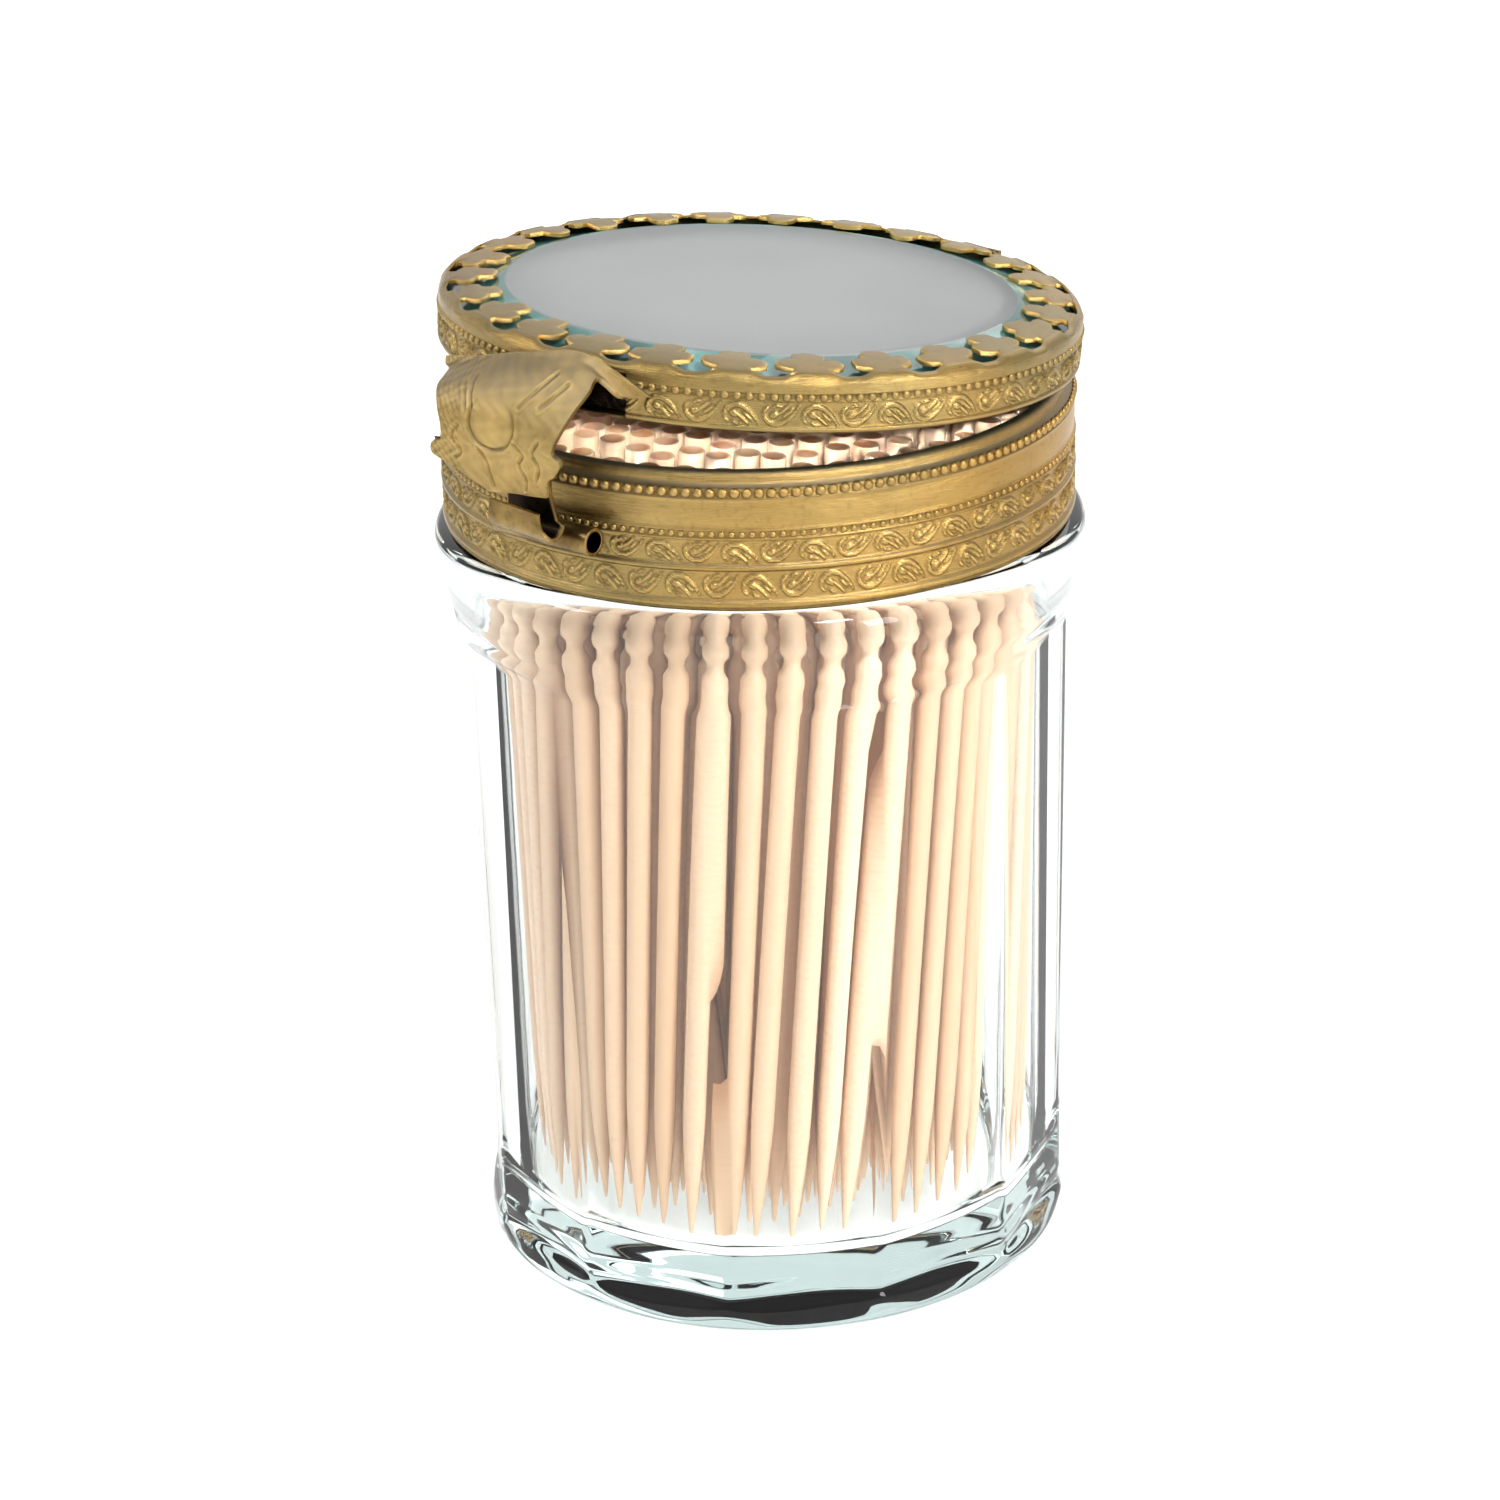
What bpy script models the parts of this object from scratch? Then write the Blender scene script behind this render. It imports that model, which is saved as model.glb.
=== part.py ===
"""Glass toothpick dispenser: a panelled jar with a stamped brass collar and a hinged lid of bevelled glass.

The jar stands on z = 0 with its axis on Z. The clasp is at the front (-Y), the hinge at the rear (+Y),
and the lid is modelled ajar, as it stands when the clasp hook rests on the catch tube.
"""

import math
import random

import bmesh
import bpy
from mathutils import Matrix, Vector

MM = 0.001

# Gap that keeps two touching pieces apart
SEAT_GAP = 0.3 * MM
# How far a cutter runs past what it cuts
OVERRUN = 1.0 * MM
MERGE = 0.01 * MM
ROUND_STEPS = 48
ARC_STEPS = 3

# Glass jar
JAR_NECK_WALL = 1.15 * MM
JAR_BODY_WALL = 2.55 * MM
JAR_FLOOR = 5.8 * MM
JAR_NECK_HEIGHT = 10.0 * MM
JAR_FLOOR_FILLET = 3.0 * MM
JAR_HEEL = 2.2 * MM
JAR_RING_PROUD = 1.1 * MM
JAR_RING_CROWN = 1.5 * MM
JAR_RING_FALL = 6.1 * MM
PANEL_COUNT = 12
# How far the panels' corners lie inside the round body
PANEL_TOP_INSET = 0.05 * MM
PANEL_BOTTOM_INSET = 0.75 * MM
PANEL_FOOT_INSET = 1.25 * MM
PANEL_DROP = 8.4 * MM
PANEL_BOTTOM = 8.0 * MM
PANEL_FLARE = 2.4 * MM

# Stamped collar
COLLAR_RADIUS = 24.5 * MM
COLLAR_RISE = 0.8 * MM
COLLAR_THICKNESS = 0.45 * MM
COLLAR_LIP_WIDTH = 1.4 * MM
COLLAR_SHOULDER = 0.7 * MM
BEAD_RIB_DROP = 1.45 * MM
BEAD_RIB_HEIGHT = 0.7 * MM
BEAD_RIB_PROUD = 0.35 * MM
LOWER_RIB_DROP = 4.6 * MM
LOWER_RIB_HEIGHT = 0.6 * MM
LOWER_RIB_PROUD = 0.2 * MM
RIDGE_DROP = 7.2 * MM
RIDGE_HEIGHT = 0.4 * MM
RIDGE_PROUD = 0.15 * MM
BORDER_HEIGHT = 0.6 * MM
BEDDING_THICKNESS = 0.5 * MM

# Lid, with heights above the skirt's lower edge
LID_SEAT_HEIGHT = 0.2 * MM
BEZEL_PROUD = 0.25 * MM
BEZEL_HEIGHT = 4.7 * MM
BEZEL_THICKNESS = 0.45 * MM
BEZEL_CREST_INSET = 0.8 * MM
BEZEL_CROWN = 1.6 * MM
BEZEL_SKIRT_INSET = 0.15 * MM
GLASS_THICKNESS = 2.8 * MM
GLASS_EDGE = 1.6 * MM
GLASS_BEVEL_INSET = 5.05 * MM
BACKING_THICKNESS = 0.4 * MM
BACKING_BOTTOM = 1.0 * MM
# The hand-soldered lid sits a little askew on its hinge
LID_SHIFT = 0.3 * MM
LID_ROLL = math.radians(1.5)
TAB_COUNT = 26
TAB_LENGTH = 4.0 * MM
TAB_SPACE = 0.8 * MM
TAB_THICKNESS = 0.4 * MM
TAB_RISE = math.radians(3)
TAB_ROOT = 0.35 * MM

# Hinge, with its pin parallel to X
PIN_RADIUS = 0.5 * MM
PIN_CLEARANCE = 0.3 * MM
KNUCKLE_WALL = 0.4 * MM
LEAF_WIDTH = 8.8 * MM
MIDDLE_KNUCKLE = 3.2 * MM
LEAF_THICKNESS = 0.4 * MM
# How deep a leaf runs into its knuckle, and where it meets it
LEAF_BITE = 0.1 * MM
LEAF_TANGENT = math.radians(40)
KNUCKLE_SIDES = 16
COLLAR_LEAF_HEIGHT = 4.6 * MM
LID_LEAF_HEIGHT = 2.6 * MM
PIN_HEAD_RADIUS = 0.95 * MM
PIN_HEAD_LENGTH = 0.5 * MM
LID_AJAR = math.radians(4.5)

# Clasp
CATCH_RADIUS = 1.07 * MM
CATCH_WALL = 0.3 * MM
CATCH_LENGTH = 9.2 * MM
CATCH_OFFSET = 1.5 * MM
CATCH_DROP = 5.1 * MM
CATCH_SIDES = 20
HOOK_THICKNESS = 0.4 * MM
HOOK_WIDTH = 5.6 * MM
HOOK_OFFSET = 2.3 * MM
HOOK_TONGUE_TOP = 2.4 * MM
HOOK_TONGUE_BOTTOM = 7.0 * MM
HOOK_CURL_RADIUS = 1.2 * MM
HOOK_CURL_TURN = math.radians(245)
HOOK_CURL_STEPS = 10
CLASP_LEAF_THICKNESS = 0.4 * MM
CLASP_LEAF_HALF_WIDTH = 10.0 * MM
CLASP_LEAF_DROP = 6.5 * MM
CLASP_LEAF_BULGE = 0.55 * MM
CLASP_LEAF_STEPS = 3
# Rows of the leaf from its top edge down, as a hand bent it: how far it stands off (0 at the bezel,
# 1 over the hook, 2 at the belly), how far it wraps round, and five places across the leaf.
# Each place has a share of the half width, and one of the bezel's height or, below it, of the drop.
CLASP_LEAF_SHARES = (
    (0.00, 0.45, ((-0.99, 0.28), (-0.60, 0.49), (-0.08, 0.79), (0.44, 0.98), (0.99, 0.52))),
    (0.12, 0.50, ((-0.97, 0.17), (-0.57, 0.43), (-0.07, 0.72), (0.43, 0.90), (0.82, 0.45))),
    (0.28, 0.50, ((-0.87, 0.18), (-0.52, 0.38), (-0.06, 0.66), (0.41, 0.80), (0.63, 0.71))),
    (0.57, 0.40, ((-0.80, 0.12), (-0.46, 0.31), (-0.07, 0.52), (0.32, 0.59), (0.61, 0.49))),
    (0.89, 0.25, ((-0.77, 0.02), (-0.43, 0.15), (-0.07, 0.26), (0.28, 0.29), (0.56, 0.17))),
    (1.65, 0.15, ((-0.69, -0.15), (-0.39, -0.12), (-0.08, -0.09), (0.23, -0.08), (0.51, -0.11))),
    (1.84, 0.10, ((-0.62, -0.50), (-0.36, -0.45), (-0.09, -0.39), (0.19, -0.34), (0.46, -0.33))),
    (1.47, 0.10, ((-0.76, -0.67), (-0.42, -0.60), (-0.09, -0.54), (0.24, -0.48), (0.58, -0.45))),
    (1.11, 0.05, ((-0.63, -0.79), (-0.37, -0.73), (-0.09, -0.69), (0.19, -0.65), (0.46, -0.62))),
    (1.00, 0.00, ((-0.39, -0.88), (-0.18, -0.83), (0.01, -0.78), (0.20, -0.74), (0.40, -0.70))),
    (1.00, 0.00, ((-0.16, -1.00), (-0.02, -0.96), (0.11, -0.93), (0.25, -0.91), (0.39, -0.88))),
)
# Oval boss on the leaf, with shares of the leaf's width and of its length
BOSS_RISE = 0.5 * MM
BOSS_MIDDLE_ACROSS_SHARE = 0.48
BOSS_HALF_ACROSS_SHARE = 0.2
BOSS_MIDDLE_ALONG_SHARE = 0.52
BOSS_HALF_ALONG_SHARE = 0.15

# Toothpicks
PICK_LENGTH = 65.0 * MM
PICK_RADIUS = 1.03 * MM
PICK_GROOVE_RADIUS = 0.64 * MM
PICK_TIP_RADIUS = 0.14 * MM
PICK_HEAD_LENGTH = 9.0 * MM
PICK_BEAD_LENGTH = 2.9 * MM
PICK_POINT_LENGTH = 16.0 * MM
PICK_SIDES = 6
PICK_COUNT = 44
# Glass above the picks' heads
PICK_RIM_ROOM = 0.6 * MM
# Room between the outer picks and the glass, at their heads and at the floor's fillet
PICK_HEAD_ROOM = 0.42 * MM
PICK_FOOT_ROOM = 0.5 * MM
PICK_TWIST = math.radians(14)
PICK_RAGGED = 0.5 * MM
BUNDLE_PITCH = 2.9 * MM
BUNDLE_FOOT_ROOM = 1.1 * MM
BUNDLE_HEAD_RISE = 0.9 * MM
BUNDLE_GROOVE = 0.34 * MM

# Worked out from the sizes above
JAR_HEIGHT = JAR_FLOOR + PICK_LENGTH + PICK_RIM_ROOM
JAR_RING_TOP = JAR_HEIGHT - JAR_NECK_HEIGHT
PANEL_TOP = JAR_RING_TOP - PANEL_DROP
COLLAR_TOP = JAR_HEIGHT + COLLAR_RISE
NECK_RADIUS = COLLAR_RADIUS - COLLAR_THICKNESS - 2 * SEAT_GAP - BEDDING_THICKNESS
JAR_BORE_RADIUS = NECK_RADIUS - JAR_NECK_WALL
JAR_BODY_RADIUS = JAR_BORE_RADIUS + JAR_BODY_WALL
JAR_RING_RADIUS = JAR_BODY_RADIUS + JAR_RING_PROUD
COLLAR_BOTTOM = JAR_RING_TOP + SEAT_GAP
COLLAR_BORE = COLLAR_RADIUS - COLLAR_THICKNESS
LID_EDGE = COLLAR_TOP + LID_SEAT_HEIGHT
BEAD_MIDDLE = COLLAR_TOP - BEAD_RIB_DROP
BEZEL_RADIUS = COLLAR_RADIUS + BEZEL_PROUD
TAB_HALF_WIDTH = (math.tau * (BEZEL_RADIUS - BEZEL_CREST_INSET) / TAB_COUNT - TAB_SPACE) / 2
SKIRT_RADIUS = BEZEL_RADIUS - BEZEL_SKIRT_INSET
COLLAR_NOSE_RADIUS = SKIRT_RADIUS - BEZEL_THICKNESS - SEAT_GAP
GLASS_RADIUS = BEZEL_RADIUS - BEZEL_THICKNESS - SEAT_GAP
GLASS_BOTTOM = BACKING_BOTTOM + BACKING_THICKNESS + SEAT_GAP
KNUCKLE_RADIUS = PIN_RADIUS + PIN_CLEARANCE + KNUCKLE_WALL
HINGE_REACH = BEZEL_RADIUS + SEAT_GAP + KNUCKLE_RADIUS
CATCH_REACH = COLLAR_RADIUS + LOWER_RIB_PROUD + SEAT_GAP + CATCH_RADIUS
HOOK_REACH = CATCH_REACH + CATCH_RADIUS + SEAT_GAP
CLASP_LEAF_REACH = HOOK_REACH + HOOK_THICKNESS + SEAT_GAP
PICK_RING_TOP = JAR_BORE_RADIUS - PICK_HEAD_ROOM - PICK_RADIUS
PICK_RING_BOTTOM = JAR_BORE_RADIUS - JAR_FLOOR_FILLET - PICK_FOOT_ROOM


def clear_scene():
    for item in list(bpy.data.objects):
        bpy.data.objects.remove(item, do_unlink=True)


def new_collection(name):
    collection = bpy.data.collections.new(name)
    bpy.context.scene.collection.children.link(collection)
    return collection


def finish(name, colour, roughness, metallic=0.0, transmission=0.0):
    material = bpy.data.materials.new(name)
    material.use_nodes = True
    shader = material.node_tree.nodes["Principled BSDF"]
    shader.inputs["Base Color"].default_value = (*colour, 1.0)
    shader.inputs["Roughness"].default_value = roughness
    shader.inputs["Metallic"].default_value = metallic
    shader.inputs["Transmission Weight"].default_value = transmission
    material.diffuse_color = (*colour, 1.0)
    return material


def place(name, mesh, collection, material=None):
    item = bpy.data.objects.new(name, mesh)
    collection.objects.link(item)
    if material:
        mesh.materials.append(material)
    return item


def mesh_from(maker, name):
    mesh = bpy.data.meshes.new(name)
    shape = bmesh.new()
    maker(shape)
    shape.to_mesh(mesh)
    shape.free()
    return mesh


def profile_mesh(name, points, closed):
    """A profile of (radius, height) points in the XZ plane."""

    def draw(shape):
        corners = [shape.verts.new((radius, 0.0, height)) for radius, height in points]
        for first, second in zip(corners, corners[1:]):
            shape.edges.new((first, second))
        if closed:
            shape.edges.new((corners[-1], corners[0]))

    return mesh_from(draw, name)


def add_screw(item, steps):
    screw = item.modifiers.new("Turn", "SCREW")
    screw.steps = steps
    screw.render_steps = steps
    screw.use_merge_vertices = True
    screw.merge_threshold = MERGE
    screw.use_smooth_shade = True
    return screw


def turned(name, points, collection, material=None, closed=False, steps=ROUND_STEPS):
    item = place(name, profile_mesh(name, points, closed), collection, material)
    add_screw(item, steps)
    return item


def add_boolean(item, other, operation):
    cut = item.modifiers.new(operation.title(), "BOOLEAN")
    cut.operation = operation
    cut.object = other
    cut.solver = "EXACT"
    return cut


def as_guide(item):
    item.hide_render = True
    item.display_type = "WIRE"
    return item


def arc(centre, radius, start, turn, steps=ARC_STEPS):
    """Points on an arc from the angle start through turn, both in radians."""
    angles = [start + turn * step / steps for step in range(steps + 1)]
    return [(centre[0] + radius * math.cos(a), centre[1] + radius * math.sin(a)) for a in angles]


def smooth_mesh(item, angle=math.radians(35)):
    item.data.shade_smooth()
    item.data.set_sharp_from_angle(angle=angle)


def baked(item):
    """A new mesh of the item as its modifiers or its curve leave it."""
    graph = bpy.context.evaluated_depsgraph_get()
    mesh = bpy.data.meshes.new_from_object(item.evaluated_get(graph))
    shape = bmesh.new()
    shape.from_mesh(mesh)
    bmesh.ops.remove_doubles(shape, verts=shape.verts, dist=MERGE)
    shape.to_mesh(mesh)
    shape.free()
    return mesh


def make_jar(parts, cutters, glass):
    inner_floor = arc(
        (JAR_BORE_RADIUS - JAR_FLOOR_FILLET, JAR_FLOOR + JAR_FLOOR_FILLET),
        JAR_FLOOR_FILLET, -math.pi / 2, math.pi / 2,
    )
    rim_radius = (NECK_RADIUS - JAR_BORE_RADIUS) / 2
    rim = arc(
        (JAR_BORE_RADIUS + rim_radius, JAR_HEIGHT - rim_radius),
        rim_radius, math.pi, -math.pi,
    )
    crown = arc(
        (JAR_RING_RADIUS - JAR_RING_CROWN, JAR_RING_TOP - JAR_RING_CROWN),
        JAR_RING_CROWN, math.pi / 2, -math.pi / 2,
    )
    ring_foot = JAR_RING_TOP - JAR_RING_FALL
    ring_waist = (
        (JAR_RING_RADIUS + JAR_BODY_RADIUS) / 2,
        ring_foot + JAR_RING_CROWN,
    )
    heel = arc((JAR_BODY_RADIUS - JAR_HEEL, JAR_HEEL), JAR_HEEL, 0.0, -math.pi / 2)
    profile = [(0.0, JAR_FLOOR)] + inner_floor + rim
    profile += [(NECK_RADIUS, JAR_RING_TOP)] + crown + [ring_waist]
    profile += [(JAR_BODY_RADIUS, ring_foot)] + heel + [(0.0, 0.0)]
    jar = turned("glass_jar", profile, parts, glass)

    corner_top = JAR_BODY_RADIUS - PANEL_TOP_INSET
    corner_foot = JAR_BODY_RADIUS - PANEL_FOOT_INSET
    flare = corner_top + PANEL_FLARE
    former = turned(
        "panel_former",
        [
            (0.0, JAR_HEIGHT + OVERRUN),
            (flare, JAR_HEIGHT + OVERRUN),
            (flare, PANEL_TOP + PANEL_FLARE),
            (corner_top, PANEL_TOP),
            (JAR_BODY_RADIUS - PANEL_BOTTOM_INSET, PANEL_BOTTOM),
            (corner_foot, 0.0),
            (corner_foot, -OVERRUN),
            (0.0, -OVERRUN),
        ],
        cutters, steps=PANEL_COUNT,
    )
    former.rotation_euler.z = -math.pi / 2
    as_guide(former)
    add_boolean(jar, former, "INTERSECT")
    return jar


def rib(radius, proud, middle, height):
    """Three points of a raised rib on a wall, top to bottom."""
    return [
        (radius, middle + height / 2),
        (radius + proud, middle),
        (radius, middle - height / 2),
    ]


def make_collar(parts, brass, cement):
    nose = arc(
        (COLLAR_NOSE_RADIUS - COLLAR_SHOULDER, COLLAR_TOP - COLLAR_SHOULDER),
        COLLAR_SHOULDER, math.pi / 2, -math.pi / 2,
    )
    bead_top = BEAD_MIDDLE + BEAD_RIB_HEIGHT / 2
    bead_foot = BEAD_MIDDLE - BEAD_RIB_HEIGHT / 2
    outside = [(COLLAR_RADIUS - COLLAR_LIP_WIDTH, COLLAR_TOP)] + nose
    outside += [
        (COLLAR_NOSE_RADIUS, bead_top),
        (COLLAR_RADIUS + BEAD_RIB_PROUD, BEAD_MIDDLE),
        (COLLAR_RADIUS, bead_foot),
    ]
    outside += rib(COLLAR_RADIUS, LOWER_RIB_PROUD, COLLAR_TOP - LOWER_RIB_DROP, LOWER_RIB_HEIGHT)
    outside += rib(COLLAR_RADIUS, RIDGE_PROUD, COLLAR_TOP - RIDGE_DROP, RIDGE_HEIGHT)
    outside += [
        (COLLAR_RADIUS, COLLAR_BOTTOM + BORDER_HEIGHT),
        (COLLAR_RADIUS + RIDGE_PROUD, COLLAR_BOTTOM + BORDER_HEIGHT / 2),
        (COLLAR_RADIUS, COLLAR_BOTTOM),
    ]
    nose_bore = COLLAR_NOSE_RADIUS - COLLAR_THICKNESS
    inside = [
        (COLLAR_BORE, COLLAR_BOTTOM),
        (COLLAR_BORE, bead_foot),
        (nose_bore, bead_top),
        (COLLAR_RADIUS - COLLAR_LIP_WIDTH, COLLAR_TOP - COLLAR_THICKNESS),
    ]
    turned("collar_band", outside + inside, parts, brass, closed=True)

    bedding_outer = COLLAR_BORE - SEAT_GAP
    bedding_inner = NECK_RADIUS + SEAT_GAP
    turned(
        "collar_bedding",
        [
            (bedding_outer, bead_foot),
            (bedding_outer, COLLAR_BOTTOM),
            (bedding_inner, COLLAR_BOTTOM),
            (bedding_inner, bead_foot),
        ],
        parts, cement, closed=True,
    )


def tab_outline():
    """Half of one three-lobed tab: shares of its half width and its length, root to tip."""
    half_shares = [
        (0.56, 0.0), (0.54, 0.22), (0.96, 0.30), (0.96, 0.58), (0.48, 0.70),
        (0.44, 0.88), (0.20, 1.0),
    ]
    half = [(TAB_HALF_WIDTH * u, TAB_LENGTH * v) for u, v in half_shares]
    return half + [(-u, v) for u, v in reversed(half)]


def make_tab(cutters):
    """One tab as a flat plate: width along X, root at the origin and tip towards +Y."""
    curve = bpy.data.curves.new("tab_outline", "CURVE")
    curve.dimensions = "2D"
    curve.fill_mode = "BOTH"
    curve.extrude = TAB_THICKNESS / 2
    points = tab_outline()
    spline = curve.splines.new("POLY")
    spline.points.add(len(points) - 1)
    for point, (u, v) in zip(spline.points, points):
        point.co = (u, v, 0.0, 1.0)
    spline.use_cyclic_u = True
    guide = bpy.data.objects.new("tab_outline", curve)
    cutters.objects.link(guide)
    bpy.context.view_layer.update()
    mesh = baked(guide)
    bpy.data.objects.remove(guide, do_unlink=True)
    return mesh


def bezel_profile():
    """Outer wall from the crest down, then the inner wall back up."""

    def wall(inset):
        outer = BEZEL_RADIUS - inset
        foot = BEZEL_HEIGHT - BEZEL_CROWN
        points = [
            (
                outer - BEZEL_CREST_INSET * (1 - across_share),
                foot + up_share * (BEZEL_CROWN - inset),
            )
            for across_share, up_share in arc((0.0, 0.0), 1.0, math.pi / 2, -math.pi / 2)
        ]
        points.append((outer, BEZEL_CROWN))
        points.append((outer - BEZEL_SKIRT_INSET, 0.0))
        return points

    return wall(0.0) + list(reversed(wall(BEZEL_THICKNESS)))


def make_lid(parts, cutters, lid_seat, brass, clear, silver):
    """The lid's round pieces, drawn about the middle of its lower edge."""
    bezel = turned("lid_bezel", bezel_profile(), parts, brass, closed=True)
    bezel.parent = lid_seat

    tab = make_tab(cutters)
    root_radius = BEZEL_RADIUS - BEZEL_CREST_INSET + TAB_ROOT
    lift = Matrix.Translation((0.0, -root_radius, BEZEL_HEIGHT - TAB_THICKNESS / 2))
    lift = lift @ Matrix.Rotation(TAB_RISE, 4, "X")

    def crown_of_tabs(shape):
        for index in range(TAB_COUNT):
            before = len(shape.verts)
            shape.from_mesh(tab)
            shape.verts.ensure_lookup_table()
            turn = Matrix.Rotation(math.tau * (index + 0.5) / TAB_COUNT, 4, "Z")
            bmesh.ops.transform(shape, matrix=turn @ lift, verts=shape.verts[before:])

    crown = place("crown_tabs", mesh_from(crown_of_tabs, "crown_tabs"), cutters)
    crown.parent = lid_seat
    as_guide(crown)
    add_boolean(bezel, crown, "UNION")

    flat_top = GLASS_BOTTOM + GLASS_THICKNESS
    glass = turned(
        "lid_glass",
        [
            (0.0, flat_top),
            (BEZEL_RADIUS - GLASS_BEVEL_INSET, flat_top),
            (GLASS_RADIUS, GLASS_BOTTOM + GLASS_EDGE),
            (GLASS_RADIUS, GLASS_BOTTOM),
            (0.0, GLASS_BOTTOM),
        ],
        parts, clear,
    )
    backing_top = BACKING_BOTTOM + BACKING_THICKNESS
    backing_radius = SKIRT_RADIUS - BEZEL_THICKNESS - SEAT_GAP
    backing = turned(
        "lid_backing_plate",
        [
            (0.0, backing_top),
            (backing_radius, backing_top),
            (backing_radius, BACKING_BOTTOM),
            (0.0, BACKING_BOTTOM),
        ],
        parts, silver,
    )
    glass.parent = lid_seat
    backing.parent = lid_seat


def ribbon(points, width):
    """An open sheet: a line of (y, z) points swept along X, centred on x = 0."""

    def draw(shape):
        rows = []
        for y, z in points:
            left = shape.verts.new((-width / 2, y, z))
            right = shape.verts.new((width / 2, y, z))
            rows.append((left, right))
        for (a, b), (c, d) in zip(rows, rows[1:]):
            shape.faces.new((a, b, d, c))

    return draw


def add_sheet(item, thickness, offset):
    sheet = item.modifiers.new("Sheet", "SOLIDIFY")
    sheet.thickness = thickness
    sheet.offset = offset
    sheet.use_even_offset = True
    return sheet


def barrel(name, length, radius, middle, cutters):
    """A solid bar along X for a knuckle or a bore."""

    def draw(shape):
        bmesh.ops.create_cone(
            shape, cap_ends=True, segments=KNUCKLE_SIDES,
            radius1=radius, radius2=radius, depth=length,
            matrix=Matrix.Translation((middle, 0.0, 0.0)) @ Matrix.Rotation(math.pi / 2, 4, "Y"),
        )

    return as_guide(place(name, mesh_from(draw, name), cutters))


def block(name, size, middle, cutters):
    def draw(shape):
        bmesh.ops.create_cube(
            shape, size=1.0,
            matrix=Matrix.Translation(middle) @ Matrix.Diagonal((*size, 1.0)),
        )

    return as_guide(place(name, mesh_from(draw, name), cutters))


def make_hinge(parts, cutters, pivot, fixed, brass):
    """Two leaves and a pin, all drawn from the pin's centre line."""
    outer_knuckle = (LEAF_WIDTH - MIDDLE_KNUCKLE) / 2 - SEAT_GAP
    outer_middle = (MIDDLE_KNUCKLE + outer_knuckle) / 2 + SEAT_GAP
    wrap = KNUCKLE_RADIUS - LEAF_THICKNESS / 2 - LEAF_BITE
    bore_radius = PIN_RADIUS + PIN_CLEARANCE

    collar_face = COLLAR_RADIUS + BEAD_RIB_PROUD + SEAT_GAP + LEAF_THICKNESS / 2 - HINGE_REACH
    collar_line = [
        (collar_face, -KNUCKLE_RADIUS - COLLAR_LEAF_HEIGHT),
        (collar_face, -KNUCKLE_RADIUS),
        (-wrap * math.sin(LEAF_TANGENT), -wrap * math.cos(LEAF_TANGENT)),
        (0.0, -wrap),
    ]
    collar_leaf = place(
        "collar_hinge_leaf",
        mesh_from(ribbon(collar_line, LEAF_WIDTH - 2 * LEAF_BITE), "collar_hinge_leaf"),
        parts, brass,
    )
    add_sheet(collar_leaf, LEAF_THICKNESS, 0.0)
    collar_leaf.parent = fixed
    middle_gap = MIDDLE_KNUCKLE + 2 * (SEAT_GAP + LEAF_BITE)
    slot_depth = 2 * (KNUCKLE_RADIUS + SEAT_GAP)
    slot = block(
        "collar_leaf_slot", (middle_gap, slot_depth, slot_depth), (0.0, 0.0, 0.0), cutters
    )
    slot.parent = fixed
    add_boolean(collar_leaf, slot, "DIFFERENCE")
    for side in (-1, 1):
        knuckle = barrel(
            "collar_knuckle", outer_knuckle, KNUCKLE_RADIUS, side * outer_middle, cutters
        )
        knuckle.parent = fixed
        add_boolean(collar_leaf, knuckle, "UNION")
    collar_bore = barrel("collar_bore", LEAF_WIDTH + 2 * OVERRUN, bore_radius, 0.0, cutters)
    collar_bore.parent = fixed
    add_boolean(collar_leaf, collar_bore, "DIFFERENCE")

    lid_face = BEZEL_RADIUS + SEAT_GAP + LEAF_THICKNESS / 2 - HINGE_REACH
    lid_line = [
        (0.0, wrap),
        (-wrap * math.sin(LEAF_TANGENT), wrap * math.cos(LEAF_TANGENT)),
        (lid_face, KNUCKLE_RADIUS),
        (lid_face, KNUCKLE_RADIUS + LID_LEAF_HEIGHT),
    ]
    lid_leaf = place(
        "lid_hinge_leaf",
        mesh_from(ribbon(lid_line, LEAF_WIDTH), "lid_hinge_leaf"),
        parts, brass,
    )
    add_sheet(lid_leaf, LEAF_THICKNESS, 0.0)
    lid_leaf.parent = pivot
    for side in (-1, 1):
        reach = outer_knuckle + 2 * SEAT_GAP + OVERRUN
        start = MIDDLE_KNUCKLE / 2 - LEAF_BITE
        gap = block(
            "lid_leaf_slot", (reach, slot_depth, slot_depth),
            (side * (start + reach / 2), 0.0, 0.0), cutters,
        )
        gap.parent = pivot
        add_boolean(lid_leaf, gap, "DIFFERENCE")
    knuckle = barrel("lid_knuckle", MIDDLE_KNUCKLE, KNUCKLE_RADIUS, 0.0, cutters)
    knuckle.parent = pivot
    add_boolean(lid_leaf, knuckle, "UNION")
    lid_bore = barrel("lid_bore", LEAF_WIDTH + 2 * OVERRUN, bore_radius, 0.0, cutters)
    lid_bore.parent = pivot
    add_boolean(lid_leaf, lid_bore, "DIFFERENCE")

    half = LEAF_WIDTH / 2 + SEAT_GAP
    tip = half + PIN_HEAD_LENGTH
    pin = turned(
        "hinge_pin",
        [
            (0.0, tip), (PIN_HEAD_RADIUS, tip), (PIN_HEAD_RADIUS, half), (PIN_RADIUS, half),
            (PIN_RADIUS, -half), (PIN_HEAD_RADIUS, -half), (PIN_HEAD_RADIUS, -tip), (0.0, -tip),
        ],
        parts, brass, steps=KNUCKLE_SIDES,
    )
    pin.rotation_euler.y = math.pi / 2
    pin.parent = fixed


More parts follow.
